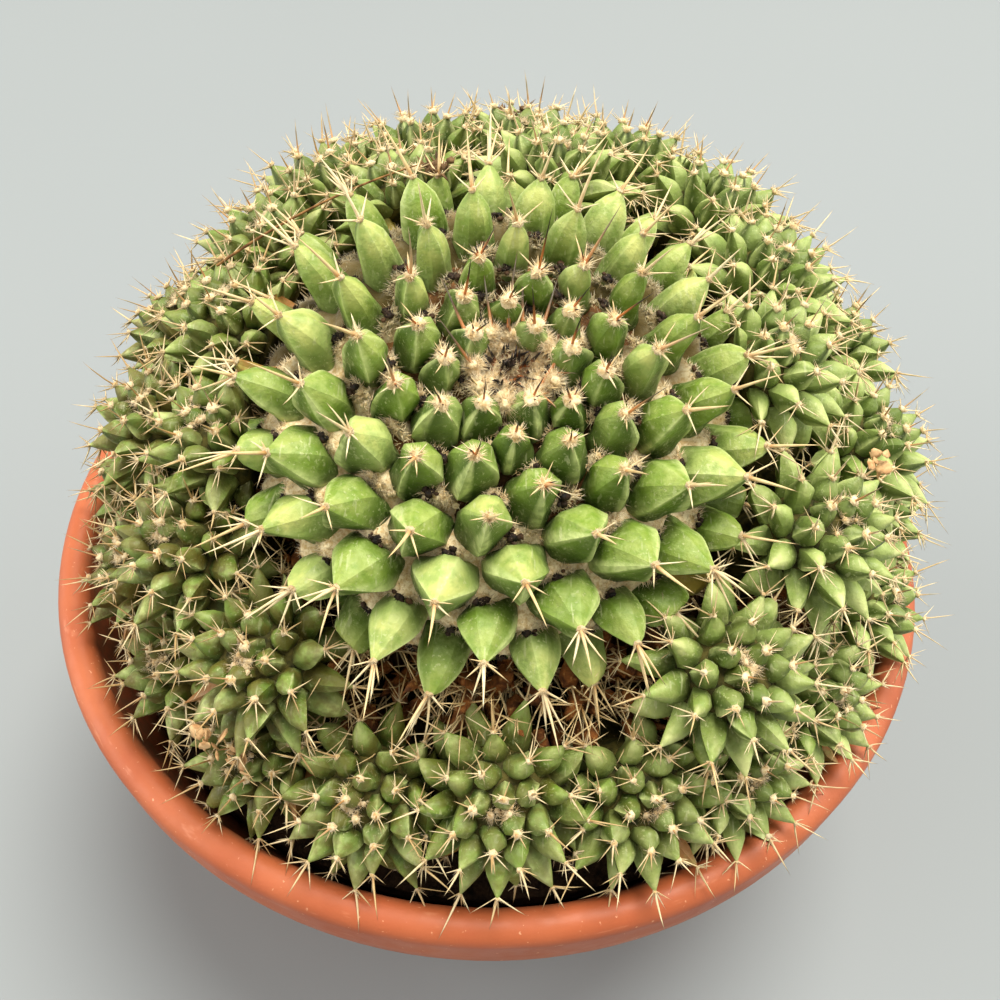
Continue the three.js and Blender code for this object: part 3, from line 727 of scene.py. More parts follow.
class Paint:
    """A material made of nodes: a first colour and others laid over it in turn. Colours are 0 to 255."""

    def __init__(self, name, colour, roughness=0.5, specular=0.5, sheen=0.0):
        """Roughness is a number, or what spread takes."""
        self.material = bpy.data.materials.new(name)
        self.material.use_nodes = True
        self.tree = self.material.node_tree
        self.shader = self.tree.nodes["Principled BSDF"].inputs
        self.place = self.add("TexCoord").outputs["Object"]
        self.body = colour
        roughness = self.spread(*roughness) if isinstance(roughness, tuple) else roughness
        self.put(roughness, self.shader["Roughness"])
        self.put(specular, self.shader["Specular IOR Level"])
        self.put(sheen, self.shader["Sheen Weight"])

    def put(self, value, socket):
        """Sets a socket from another socket, a colour or a number."""
        if isinstance(value, bpy.types.NodeSocket):
            self.tree.links.new(value, socket)
        else:
            socket.default_value = srgb(*value) if socket.type == "RGBA" else value

    def add(self, kind, **inputs):
        """Adds a node and sets its inputs, whose names are written with _ for a space."""
        node = self.tree.nodes.new("ShaderNode" + kind)
        for name, value in inputs.items():
            self.put(value, node.inputs[name.replace("_", " ")])
        return node

    def value(self, name):
        """A value that is painted on the mesh."""
        node = self.add("Attribute")
        node.attribute_name = name
        return node.outputs["Fac"]

    def noise(self, size, detail=3.0, roughness=0.55, stretch=None):
        """Smooth noise whose features are about size metres wide."""
        place = self.place
        if stretch:
            place = self.add("Mapping", Vector=place, Scale=stretch).outputs["Vector"]
        node = self.add("TexNoise", Vector=place, Scale=1 / size, Detail=detail, Roughness=roughness)
        return node.outputs["Fac"]

    def source(self, value):
        """A socket, from a socket, the name of a painted value, or what noise takes."""
        if isinstance(value, str):
            return self.value(value)
        return self.noise(*value) if isinstance(value, tuple) else value

    def math(self, operation, *values):
        """The sum or the product of the values."""
        total = values[0]
        for value in values[1:]:
            node = self.add("Math")
            node.operation = operation
            self.put(total, node.inputs[0])
            self.put(value, node.inputs[1])
            total = node.outputs[0]
        return total

    def spread(self, value, low, high, to_low=0.0, to_high=1.0):
        """value from low..high to to_low..to_high, with soft ends."""
        node = self.add("MapRange", Value=self.source(value), From_Min=low, From_Max=high, To_Min=to_low,
                        To_Max=to_high)
        node.interpolation_type = "SMOOTHSTEP"
        return node.outputs["Result"]

    def mix(self, factor, first, second):
        node = self.add("Mix")
        node.data_type = "RGBA"
        for number, value in ((0, self.source(factor)), (6, first), (7, second)):
            self.put(value, node.inputs[number])
        return node.outputs[2]

    def cover(self, colour, *factors):
        """Lays a colour over the others by the product of painted values and of what spread takes."""
        factors = [self.spread(*factor) if isinstance(factor, tuple) else self.source(factor)
                   for factor in factors]
        self.body = self.mix(self.math("MULTIPLY", *factors), self.body, colour)

    def finish(self, grain, distance, strength):
        """Sets the colour and a bump of noise, and returns the material."""
        bump = self.add("Bump", Height=self.noise(*grain), Distance=distance, Strength=strength)
        self.put(bump.outputs["Normal"], self.shader["Normal"])
        self.put(self.body, self.shader["Base Color"])
        return self.material


def flesh_material(name, deep, middle, light, highlight_patch):
    """Waxy green skin: painted shade darker in the furrows and on the lower faces, a painted highlight on the
    tip's upper face and along the edges of the facets, fine whitish flecks.
    """
    paint = Paint(name, deep, ((0.0016, 3), 0.3, 0.7, 0.38, 0.58), 0.35)
    # Painted shade: the deep colour stays at the foot of each tubercle, down in the furrows
    paint.cover(middle, ("rise", 0, 0.62))
    own = paint.math("MULTIPLY", paint.value("tone"), 0.55)
    cloud = paint.math("MULTIPLY", paint.noise(0.006, 4), 0.6)
    paint.cover(light, (paint.math("ADD", own, cloud), 0.35, 1.1, 0, 0.65))
    paint.cover(light, ((0.0018, 5, 0.65), 0.42, 0.7, 0, 0.4))
    paint.cover(deep, ((0.0011, 4, 0.65), 0.52, 0.75, 0, 0.35))
    # Painted shade on the lower faces of the tubercles
    paint.cover(deep, ("upside", -0.9, 0.15, 0.62, 0))
    paint.cover(deep, ("age", 0.1, 0.8, 0.5, 0))
    # Painted highlight on the upper face near the tip
    paint.cover(highlight_patch, ("rise", 0.25, 0.8), ("upside", -0.2, 0.8), ("age", 0.25, 0.9, 0.1, 1),
                ((0.003, 3), 0.34, 0.62, 0.15, 1), ("tone", 0.25, 0.9, 0.25, 0.8))
    # Painted highlight along the edges of the facets
    paint.cover((196, 208, 136), "ridge", ((0.0015, 2), 0.3, 0.6, 0.35, 0.85))
    paint.cover((204, 210, 154), ((0.00055, 2, 0.6), 0.58, 0.68), ((0.004, 2), 0.38, 0.6, 0, 0.42))
    paint.cover((206, 208, 164), ((0.0006, 1, 0.5, (1, 0.12, 0.3)), 0.66, 0.73, 0, 0.3))
    paint.cover((96, 82, 34), "dusty", ((0.0028, 4), 0.36, 0.6, 0.1, 0.95))
    faded = paint.mix(paint.spread("dry", 0.6, 1), (204, 158, 62), (156, 108, 56))
    paint.cover(faded, "dry", ((0.0025, 3), 0.25, 0.55, 0.45, 1))
    return paint.finish((0.0009, 5, 0.6), 0.0003, 0.7)


def spine_material():
    """Tan at the root, cream in the middle; young ones are orange-brown with a black tip."""
    paint = Paint("spine", (172, 118, 58), 0.45)
    paint.cover((222, 196, 144), ("along", 0, 0.3))
    paint.cover((236, 224, 186), ("tone", 0.2, 1, 0, 0.8))
    paint.cover((190, 146, 92), ((0.0012, 3), 0.35, 0.7, 0, 0.4))
    ripeness = paint.math("ADD", paint.value("along"), paint.spread("dark", 1, 1.5, 0, 0.12))
    paint.cover(paint.mix(paint.spread(ripeness, 0.2, 0.66), (190, 112, 52), (24, 13, 9)), "dark")
    paint.cover((158, 122, 66), "dusty", ("tone", 0.3, 0.8, 0.9, 0.3))
    paint.cover((84, 52, 28), ("along", 0.82, 0.98, 0, 0.6))
    return paint.finish((0.0005, 2), 0.00004, 0.4)


@cache
def material(name):
    """The material of that name, made when it is first asked for."""
    if name == "spine":
        return spine_material()
    if name in FLESH:
        return flesh_material(name, *FLESH[name])
    if name in PLAIN:
        first, second = PLAIN[name]
        surface = first, [(second, ((0.0015, 4), 0.3, 0.7))], (0.0006, 3), 0.0002, 0.7, DRY
    else:
        surface = SURFACES[name]
    first, layers, grain, distance, strength, shine = surface
    paint = Paint(name, first, **shine)
    for layer in layers:
        paint.cover(*layer)
    return paint.finish(grain, distance, strength)


def pot_profile():
    """The pot's outline as (radius, height), from the middle of its foot over the rim to the inside."""
    band_bottom = POT_HEIGHT - BAND_HEIGHT
    wall_top = RIM_RADIUS - BAND_STEP
    rim_middle = (RIM_RADIUS + RIM_INNER_RADIUS) / 2
    half = (RIM_RADIUS - RIM_INNER_RADIUS) / 2
    profile = [(0, 0), (BASE_RADIUS - 0.004, 0), (BASE_RADIUS - 0.0016, 0.0002),
               (BASE_RADIUS - 0.0004, 0.0009)]
    profile += [(BASE_RADIUS + (wall_top - BASE_RADIUS) * share,
                 BASE_EDGE + (band_bottom - BASE_EDGE) * share) for share in np.linspace(0, 1, 12)]
    profile += [(wall_top + 0.0012, band_bottom + 0.0002), (RIM_RADIUS - 0.0014, band_bottom + 0.0005),
                (RIM_RADIUS - 0.0005, band_bottom + 0.0014), (RIM_RADIUS - 0.0003, band_bottom + 0.004)]
    profile += [(rim_middle + half * math.cos(angle), POT_HEIGHT - half + half * math.sin(angle))
                for angle in np.linspace(-0.25, math.pi, 14)]
    lip = band_bottom - 0.002
    profile += [(RIM_INNER_RADIUS - 0.0006, POT_HEIGHT - 0.0075), (inner_wall_radius(band_bottom), lip)]
    profile += [(inner_wall_radius(height), height) for height in np.linspace(lip, FLOOR, 9)[1:]]
    return profile + [(0, FLOOR)]


def build_pot():
    """The pot, browner on its inside wall above the soil, with drain holes cut through its floor."""
    points, faces = lathe(pot_profile(), POT_SIDES)
    radius, height = np.hypot(points[:, 0], points[:, 1]), points[:, 2]
    wall = np.where(height > POT_HEIGHT - BAND_HEIGHT, RIM_INNER_RADIUS, inner_wall_radius(height) + 0.0005)
    pile = Pile()
    pile.add(points, faces, dusty=np.clip((wall + 0.0015 - radius) / 0.002, 0, 1) * (height > 0.05))
    pot = pile.build("pot_shell", "pot_shell")
    for angle in (np.arange(DRAIN_COUNT) + 0.5) * 2 * math.pi / DRAIN_COUNT:
        bpy.ops.mesh.primitive_cylinder_add(vertices=32, radius=DRAIN_RADIUS, depth=4 * FLOOR, location=(
            DRAIN_CIRCLE * math.cos(angle), DRAIN_CIRCLE * math.sin(angle), 0))
        cutter = bpy.context.object
        cut = pot.modifiers.new("drain", "BOOLEAN")
        cut.object = cutter
        cut.operation = "DIFFERENCE"
        bpy.context.view_layer.objects.active = pot
        bpy.ops.object.modifier_apply(modifier=cut.name)
        bpy.data.objects.remove(cutter)
    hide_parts("pot")


def soil_surface(radius, edge):
    """The height of the soil, which sinks towards its edge."""
    return SOIL_TOP - (SOIL_TOP - SOIL_EDGE_TOP) * smooth((radius - edge) / SOIL_SLOPE + 1)


def build_soil():
    """The soil with a bumpy top and loose grit near its edge."""
    rng = np.random.default_rng(11)
    edge = inner_wall_radius(SOIL_EDGE_TOP) - 2 * GAP
    side = np.linspace(FLOOR + GAP, SOIL_EDGE_TOP - 0.004, 5)
    profile = [(0, side[0]), (inner_wall_radius(FLOOR) - 2 * GAP, side[0])]
    profile += [(inner_wall_radius(height) - 2 * GAP, height) for height in side[1:]]
    profile += [(edge - 0.001, SOIL_EDGE_TOP)]
    profile += [(radius, soil_surface(radius, edge)) for radius in np.linspace(edge - 0.003, 0.003, 26)]
    points, faces = lathe(profile + [(0, SOIL_TOP)], 120)
    top = points[:, 2] > SOIL_EDGE_TOP - 0.001
    points[:, 2] += np.where(top, rough(points, 0.004, 0.0009) - 0.0006, 0)
    pile = Pile()
    pile.add(points, faces, tone=0.3)
    angle = rng.uniform(0, 2 * math.pi, GRIT_COUNT)
    radius = (edge - 0.0025) * np.sqrt(rng.uniform(0.62, 1, GRIT_COUNT))
    size = rng.uniform(*GRIT_SIZE, GRIT_COUNT) * rng.uniform(0.6, 1.2, GRIT_COUNT)
    height = soil_surface(radius, edge) - 0.0003
    middles = np.stack([radius * np.cos(angle), radius * np.sin(angle), height], 1)
    normals = scattered(rng, np.tile([0.0, 0, 1], (GRIT_COUNT, 1)), 0.3)
    lumps(pile, rng, middles, normals, size, 0.7, ball(1), tone=(0, 1))
    soil = pile.build("soil_mix", "soil_mix", smooth_shading=False)
    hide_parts("soil")


def turn_out(place, mother):
    """Young tubercles lean in over the crown, older ones turn out, and the oldest hang."""
    angle = math.radians(np.interp(place.polar, *MOTHER_TURNOUT))
    outward = unit(-place.crownward - mother.axis * (-place.crownward @ mother.axis))
    aim = mother.axis * math.cos(angle) + outward * math.sin(angle)
    place.direction = unit(0.25 * place.direction + 0.75 * aim)


def clear_places(places, around, planes, margin, seen=lambda place: True):
    """The tubercles that are seen and stand clear of the neighbouring heads, and their low points."""
    kept = [(place, lows) for place, lows in zip(places, around)
            if seen(place) and all((place.base - point) @ normal < margin for point, normal in planes)]
    return [place for place, _ in kept], [lows for _, lows in kept]


def mother_places(mother, planes):
    """The tubercles of the mother head, and the low points round each."""
    places = tubercle_lattice(mother, MOTHER_RADIUS, MOTHER_RISE, MOTHER_TUBERCLES)
    turns = np.arange(UNDERSIDE_SIDES) * 2 * math.pi / UNDERSIDE_SIDES
    underside = mother.middle - mother.axis * UNDERSIDE_DEPTH + UNDERSIDE_RADIUS * across_head(mother, turns)
    around = valleys_between(mother.middle, places, [mother.middle - mother.axis * MOTHER_DEPTH, *underside])
    finish_places(places, mother, 1000)
    places, around = clear_places(places, around, planes, -0.0005)
    for place in places:
        place.height *= MOTHER_STRETCH
        turn_out(place, mother)
        bend_clear(place, planes)
        if place.polar > 1.62 and place.tone > 0.45 or place.number in DRY_TUBERCLES:
            place.dry = 1.0
        elif place.polar > 1.25 and draw(place.tone * 31) < 0.12:
            place.dry = 0.55
        frontness = (mother.middle[1] - place.base[1]) / MOTHER_RADIUS
        place.finger = smooth((0.5 - frontness) / 0.75) * smooth(place.age / 0.6)
    set_tips(places, lambda points: keep_inside(points, planes))
    find_pads(places, around)
    return places, around


def mother_ball(mother, subdivisions):
    """A ball's faces, how far up the mother's axis each point is, the part across it, and the depth there."""
    points, faces = ball(subdivisions)
    upward = points @ mother.axis
    across = points - upward[:, None] * mother.axis
    return faces, upward, across, np.where(upward > 0, MOTHER_RISE, MOTHER_DEPTH)


def build_mother(mother, heads):
    """The flesh of the mother head. Returns its tubercles and the planes to its neighbours."""
    planes = [plane_between(MOTHER_MIDDLE, MOTHER_REACH, head.middle, head.reach) for head in heads]
    places, around = mother_places(mother, planes)
    pile = Pile()
    tubercle_shapes(pile, places, around, MOTHER_LOOK, lambda points: keep_inside(points, planes))
    faces, upward, across, level = mother_ball(mother, 4)
    core = mother.middle + across * MOTHER_RADIUS * 0.97 + (upward * level * 0.96)[:, None] * mother.axis
    pile.add(keep_inside(core, planes), [faces], 1)
    flesh = pile.build("main_head_flesh", "main_flesh", "cork", crease=MOTHER_LOOK["crease"])
    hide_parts("main_head")
    return places, planes


def axil_pads(places):
    """The wool pads above the tubercles: middles, directions out of the head and along it, and sizes."""
    middles, normals, sideways, age = columns([place for place in places if place.polar < 1.75],
                                              "pad", "normal", "sideways", "age")
    return middles, normals, sideways, 0.5 + 0.5 * age


def pad_shape(offsets, sideways, wide):
    """How high a wool pad stands at offsets from its middle, from 0 to its size; it is wider than long."""
    offsets = offsets - 0.35 * np.sum(offsets * sideways, -1, keepdims=True) * sideways
    return wide * np.exp(-(np.linalg.norm(offsets, axis=-1) / (PAD_SIZE * wide)) ** 2)


def back_shade(points, mother):
    """0 on the front of the mother head, 1 on its back, where painted shade makes the furrows and wool
    darker.
    """
    return smooth(((points - mother.middle)[:, 1] / MOTHER_RADIUS + 0.2) / 0.4)


def build_felt(mother, pads, planes):
    """The matted wool that fills the furrows of the mother head, and dead brown tissue under its skirt."""
    faces, upward, across, level = mother_ball(mother, 7)
    polar = np.arccos(np.clip(upward, -1, 1))
    bare = mother.middle + across * MOTHER_RADIUS + (upward * level)[:, None] * mother.axis
    young = smooth((0.8 - polar) / 0.35) * smooth((polar - 0.13) / 0.06)
    lumpy = rough(bare, 0.0022, 0.0004) + rough(bare, 0.0012, 0.0004, 3)
    behind = back_shade(bare, mother)
    padded = np.zeros(len(bare))
    for middle, _, sideways, wide in zip(*pads):
        padded = np.maximum(padded, pad_shape(bare - middle, sideways, wide))
    lift = np.where(upward > 0, FELT_LEVEL - YOUNG_FURROW * young + PAD_RISE * padded + lumpy, 2.5 * lumpy)
    normals = unit(across / MOTHER_RADIUS + upward[:, None] * mother.axis / level[:, None])
    felt = keep_inside(bare + normals * lift[:, None], planes)
    # Brown dirt in random patches and less on the pads, with painted shade: more in the young furrows round
    # the crown and on the back of the head
    soiled = 0.4 + 0.4 * young - 0.9 * padded + 0.4 * rough(bare, 0.004, 1.0, 5) + 0.85 * behind
    woolly = upward[faces].mean(1) > UNDER_SKIRT
    pile = Pile()
    # The dark value is painted shade on the back of the head, a little less on the pads
    pile.add(felt, [faces[woolly]], soiled=np.clip(soiled, 0, 1), dark=0.85 * behind * (1 - 0.3 * padded))
    pile.add(felt, [faces[~woolly]], 1)
    pile.build("main_head_felt", "wool", "dead")


def build_stem(heads):
    """The old corky stem, which joins all the heads and stands in the soil."""
    planes = [plane_between(STEM_MIDDLE, STEM_REACH, head.middle, head.reach) for head in heads]
    pile = Pile()
    unit_points, faces = ball(5)
    points = STEM_MIDDLE + unit_points * (STEM_RADIUS + rough(unit_points, 0.12, 0.0015))[:, None]
    points = keep_inside(points, planes)
    points[:, 2] = np.maximum(points[:, 2], SOIL_TOP + GAP)
    pile.add(points, [faces])
    profile = [(0, STEM_FOOT), (STEM_FOOT_RADIUS * 0.8, STEM_FOOT)]
    profile += [(STEM_FOOT_RADIUS, height) for height in np.linspace(STEM_FOOT + 0.003, STEM_FOOT_TOP, 12)]
    foot, foot_faces = lathe(profile + [(0, STEM_FOOT_TOP)], 32)
    foot[:, :2] *= (1 + rough(foot, 0.006, 0.08))[:, None]
    foot[:, :2] += STEM_MIDDLE[:2]
    pile.add(foot, foot_faces)
    pile.build("old_stem", "cork")


def areole_fan(pile, rng, places, turns, chance, reach, lengths, radii, forward, sides=4, **values):
    """A fan of spines at each areole: one spine for each turn, measured from straight down the head."""
    tips, directions, age, up, sideways = columns(places, "tip", "direction", "age", "crownward", "sideways")
    count = len(places)
    roots = tips - directions * reach
    for turn in turns:
        angle = math.radians(turn) + rng.normal(0, 0.16, count)
        chosen = rng.uniform(0, 1, count) < chance
        aside = sideways * np.sin(angle)[:, None] - up * np.cos(angle)[:, None]
        aim = scattered(rng, unit(directions * rng.uniform(*forward, (count, 1)) + aside), 0.06)
        length = rng.uniform(*lengths, count) * (0.6 + 0.4 * age)
        bends = rng.normal(0, 0.05, (count, 3))
        radius, tone = rng.uniform(*radii, count), rng.uniform(0.3, 1, count)
        threads(pile, roots[chosen], aim[chosen], length[chosen], radius[chosen], bends[chosen], sides, 3,
                tone=tone[chosen], **values)


def crown_ring(mother, turns, radius):
    """Places round the middle of the crown, and their directions away from it."""
    across = across_head(mother, turns)
    radius = np.broadcast_to(radius, len(turns))[:, None]
    lift = MOTHER_RISE + CROWN_RIM * (radius / CROWN_PIT) ** 2
    return mother.middle + across * radius + mother.axis * lift, across


def crown_spines(pile, rng, mother):
    """A star of short dark spines in the middle, short ones on the buds, and long new ones that lean back."""
    count = 36
    turns = rng.uniform(0, 2 * math.pi, count)
    roots, across = crown_ring(mother, turns, np.sqrt(rng.uniform(0, 1, count)) * 0.0026)
    aim = scattered(rng, unit(mother.axis + 0.7 * across), 0.3)
    grow(pile, rng, roots, aim, (0.0028, 0.0046), (0.00029, 0.00038), 0.06, 4, 4, tone=0.2, dark=1.5)
    turns = rng.uniform(0, 2 * math.pi, count)
    roots, across = crown_ring(mother, turns, rng.uniform(0.0036, 0.0062, count))
    aim = scattered(rng, unit(mother.axis + 0.9 * across), 0.35)
    shape = (rng.uniform(0.0025, 0.0042, count), rng.uniform(0.00013, 0.00019, count),
             rng.normal(0, 0.06, (count, 3)))
    tone, ripe = rng.uniform(0.3, 1, count), rng.uniform(0, 1, count) < 0.4
    threads(pile, roots, aim, *shape, 4, 4, tone=tone, dark=0.8 * ripe)
    turns = math.atan2(mother.front[1], mother.side[1]) + np.radians(NEW_SPINE_TURNS)
    roots, across = crown_ring(mother, turns, rng.uniform(0.0042, 0.0062, len(turns)))
    aim = scattered(rng, unit(NEW_SPINE_LEAN + 0.55 * across), 0.08)
    grow(pile, rng, roots, aim, (0.0085, 0.012), (0.00027, 0.00033), 0.05, 6, 6, tone=(0, 0.6), dark=0.9)


def build_mother_spines(mother, places):
    """A long central spine and a fan of shorter ones on each areole, and dark new spines in the crown."""
    rng = np.random.default_rng(21)
    pile = Pile()
    tips, directions, age, up, base = columns(places, "tip", "direction", "age", "crownward", "base")
    behind = base[:, 1] > mother.middle[1] - 0.004
    count = len(places)
    young = smooth((0.95 - age) / 0.5)
    longest = young * (rng.uniform(0, 1, count) < np.where(behind, 0.85, 0.35))
    grown = (0.0042 + 0.0042 * age) * rng.uniform(0.8, 1.25, count)
    lengths = grown + (rng.uniform(0.0085, 0.012, count) - grown) * longest
    aim = scattered(rng, unit(directions - up * (0.34 * age)[:, None]), 0.14)
    bends = -up * rng.uniform(-0.02, 0.1, (count, 1)) + rng.normal(0, 0.035, (count, 3))
    radii = rng.uniform(0.00025, 0.00032, count) * (1 - 0.3 * young)
    threads(pile, tips - directions * 0.0006, aim, lengths, radii, bends, 6, 6, power=0.95,
            tone=rng.uniform(0, 1, count), dark=young)
    skirt = [place for place in places if place.polar > 1.0]
    fresh = [place for place in places if place.age < 0.8]
    around = (-30, 35, 100, 180, -140)
    # Places, turns, chance, depth of the root, lengths, radii, how far forward, and darkness
    for *fan, dark in (
            (skirt, (-22, 24, 6), 0.75, 0.0005, (0.0048, 0.0088), (0.00019, 0.00026), (0.7, 1.2), 0),
            (places, (-62, 60), 0.92, 0.0005, (0.0032, 0.0056), (0.00015, 0.00022), (0.45, 0.8), 0),
            (places, (-112, 115), 0.5, 0.0005, (0.0018, 0.0036), (0.00012, 0.00018), (0.5, 0.9), 0),
            (fresh, around, 0.6, 0.0003, (0.0026, 0.0044), (0.00011, 0.00016), (0.5, 1.1), 0),
            (fresh, (0, 80, -80), 0.5, 0.0003, (0.0022, 0.004), (0.00013, 0.00018), (1.2, 2.0), 1)):
        areole_fan(pile, rng, *fan, dark=dark)
    crown_spines(pile, rng, mother)
    pile.build("main_head_spines", "spine")


def fill_hollow(pile, rng):
    """Brown litter of dried tubercles and loose spines in the hollow under the front of the mother head."""
    limits = LITTER_AZIMUTH, LITTER_ELEVATION, LITTER_DEPTH
    middles, outward = on_dome(*(drawn(rng, limit, LITTER_COUNT) for limit in limits))
    aim = scattered(rng, outward, 0.5)
    grow(pile, rng, middles, aim, (0.003, 0.006), (0.0009, 0.0018), 0.3, 5, 3, slot=1, power=0.5)
    middles, outward = np.repeat(middles, 4, 0), np.repeat(outward, 4, 0)
    aim = scattered(rng, outward + [0, 0, 0.3], 0.6)
    grow(pile, rng, middles + outward * 0.002, aim, (0.006, 0.012), (0.00014, 0.00023), 0.08, 3, 2,
         tone=(0, 0.7), dusty=0.2)


def build_dead_parts(mother, planes):
    """Dried tubercles under the skirt of the mother head, each with a tangle of old tan spines."""
    rng = np.random.default_rng(23)
    pile = Pile()
    across = across_head(mother, rng.uniform(0, 2 * math.pi, DEAD_AREOLES))
    polar = rng.uniform(*DEAD_POLAR, DEAD_AREOLES)[:, None]
    across, inward = across * np.sin(polar), mother.axis * np.cos(polar)
    outward = across + inward
    roots = mother.middle + across * MOTHER_RADIUS + inward * MOTHER_DEPTH
    inside = np.all([(roots - point) @ normal < 0.001 for point, normal in planes], axis=0)
    roots = roots[inside]
    outward = scattered(rng, outward[inside], 0.2)
    length = rng.uniform(0.003, 0.0068, len(roots))
    grow(pile, rng, roots - outward * 0.001, outward, length + 0.001, (0.0011, 0.002), 0.15, 7, 4,
         slot=1, power=0.55)
    ends = roots + outward * (0.9 * length)[:, None]
    aim = scattered(rng, np.repeat(outward * 0.8, DEAD_SPINES, 0), 0.55)
    grow(pile, rng, np.repeat(ends, DEAD_SPINES, 0), aim, (0.0045, 0.0105), (0.00014, 0.00024), 0.07, 3, 3,
         tone=(0, 0.8))
    lumps(pile, rng, ends, outward, (0.0006, 0.001), 0.7, ball(1), slot=1)
    fill_hollow(pile, rng)
    pile.build("under_skirt_tangle", "spine", "dead")


def build_mother_wool(mother, places, pads, planes):
    """Wool on the areoles, in the crown, and as a pad in the axil above each tubercle."""
    rng = np.random.default_rng(31)
    pile = Pile()
    tips, directions, age = columns(places, "tip", "direction", "age")
    young = np.clip(1.25 - age * 1.1, 0, 1)
    size = 0.0005 + 0.0007 * young
    lumps(pile, rng, tips - directions * 0.0003, directions, size, 0.65, ball(2), soiled=0.4 * age)
    woolly = young > 0.2
    tufts(pile, rng, tips[woolly], directions[woolly], size[woolly] * 0.95, 0.0011, 90, 1.4)
    old = ~woolly
    tufts(pile, rng, tips[old], directions[old], size[old] * 0.9, 0.0007, 20, 1.1, 0.00006, soiled=0.2)
    pad_wool(pile, rng, mother, pads, planes)
    crown_wool(pile, rng, mother)
    pile.build("main_head_wool", "wool")


def pad_wool(pile, rng, mother, pads, planes):
    """Small lumps and many short threads over each wool pad."""
    each = 36
    # Painted shade: the pads on the back of the mother head are darker
    dark = np.repeat(0.5 * back_shade(pads[0], mother), each)
    middles, normals, sideways, wide = (np.repeat(column, each, 0) for column in pads)
    count = len(middles)
    offsets = sideways * (rng.normal(0, 0.0015, count) * wide)[:, None]
    offsets = offsets + sideways_of(rng, normals) * (rng.normal(0, 0.0007, count) * wide)[:, None]
    rise = FELT_LEVEL + PAD_RISE * pad_shape(offsets, sideways, wide)[:, None]
    spots = keep_inside(middles + offsets + normals * rise, planes)
    soiled = rng.uniform(0, 0.5, count) ** 2
    size = rng.uniform(0.0003, 0.0006, len(spots[::3])) * wide[::3]
    lumps(pile, rng, spots[::3], normals[::3], size, 0.5, ball(1), soiled=soiled[::3], dark=dark[::3])
    tufts(pile, rng, spots, normals, 0.0007, 0.0012, 6, 1.5, 0.00008, soiled=soiled, dark=dark)


def crown_wool(pile, rng, mother):
    """The felt in the middle of the crown, brown by dirt and by painted shade, most at its middle, with rings
    of woolly cream buds round it.
    """
    count = 90
    out = np.sqrt(rng.uniform(0, 1, count))
    middles, across = crown_ring(mother, rng.uniform(0, 2 * math.pi, count), out * CROWN_PIT)
    normals = unit(mother.axis + across * out[:, None] * 0.4)
    # Browner towards the middle of the pit, by dirt and painted shade
    soiled = np.clip(rng.uniform(0.8, 1.2, count) - 1.4 * out, 0, 1)
    lumps(pile, rng, middles - normals * 0.0006, normals, (0.0007, 0.0011), 0.7, ball(1), soiled=soiled)
    tufts(pile, rng, middles - normals * 0.0004, normals, 0.0007, 0.0009, 16, 1.3, soiled=soiled)
    size = 0.0008
    for ring, radius in ((8, 0.0038), (11, 0.0056)):
        turns = np.arange(ring) * 2 * math.pi / ring + rng.normal(0, 0.16, ring) + radius * 100
        buds, across = crown_ring(mother, turns, radius * rng.uniform(0.92, 1.08, ring))
        normals = unit(mother.axis + across * 0.3)
        lumps(pile, rng, buds, normals, size, 0.9, ball(2), soiled=0.05)
        tufts(pile, rng, buds, normals, size * 1.3, 0.0016, 260, 1.6, 0.00006, soiled=(0, 0.12))


def build_specks(pads, planes):
    """Dark dirt and dried flower remains on the wool pads of the mother head."""
    rng = np.random.default_rng(41)
    pile = Pile()
    chosen = rng.uniform(0, 1, len(pads[0])) < 0.88
    middles, outward, sideways, wide = (column[chosen] for column in pads)
    spots = keep_inside(middles + outward * (FELT_LEVEL + PAD_RISE * wide + 0.0003)[:, None], planes)
    spots = spots + sideways * rng.normal(0, 0.0003, (len(spots), 1))
    which = np.repeat(np.arange(len(spots)), 13)
    away = np.abs(rng.normal(0, 0.0006, len(which))) * wide[which]
    middles = spots[which] + sideways_of(rng, outward[which]) * away[:, None]
    middles = middles + outward[which] * rng.uniform(-0.0001, 0.0005, (len(which), 1))
    tone = np.minimum(away / 0.0014, 1)
    lumps(pile, rng, middles, outward[which], (0.00026, 0.00066), 0.6, ball(1), tone=tone)
    aim = scattered(rng, np.repeat(outward, 10, 0), 0.9)
    grow(pile, rng, np.repeat(spots, 10, 0), aim, (0.0006, 0.0014), 0.00008, 0.2, 3, 2)
    pile.build("furrow_specks", "speck")


def offset_planes(head, heads):
    """The planes between a small head and the mother head, the stem and the small heads near it."""
    near = [(other.middle, other.reach) for other in heads
            if other is not head and np.linalg.norm(other.middle - head.middle) < NEIGHBOUR_DISTANCE]
    others = [(MOTHER_MIDDLE, MOTHER_REACH), (STEM_MIDDLE, STEM_REACH)] + near
    return [plane_between(head.middle, head.reach, *other) for other in others]


def offset_places(head, radius, root, planes):
    """The tubercles of a small head, and the low points round each."""
    scale = math.sqrt(head.reach / USUAL_REACH)
    rule = dict(OFFSET_TUBERCLES)
    rule["crown"] *= scale
    rule["skirt"] *= scale
    places = tubercle_lattice(head, OFFSET_WIDTH * radius, OFFSET_RISE * radius, rule)
    stretch = (head.reach - radius) / max(place.height for place in places)
    for place in places:
        place.height *= stretch
    around = valleys_between(head.middle, places, [head.middle + root * NECK_LENGTH])
    finish_places(places, head, 5000 + 300 * head.number)
    places, around = clear_places(places, around, planes, 0.0008,
                                  lambda place: place.normal @ -head.outward < HIDDEN_SIDE)
    for place in places:
        bend_clear(place, planes)
        if place.polar > 1.3 and draw(place.tone * 97) < 0.05:
            place.dry = 1.0
    return places, around


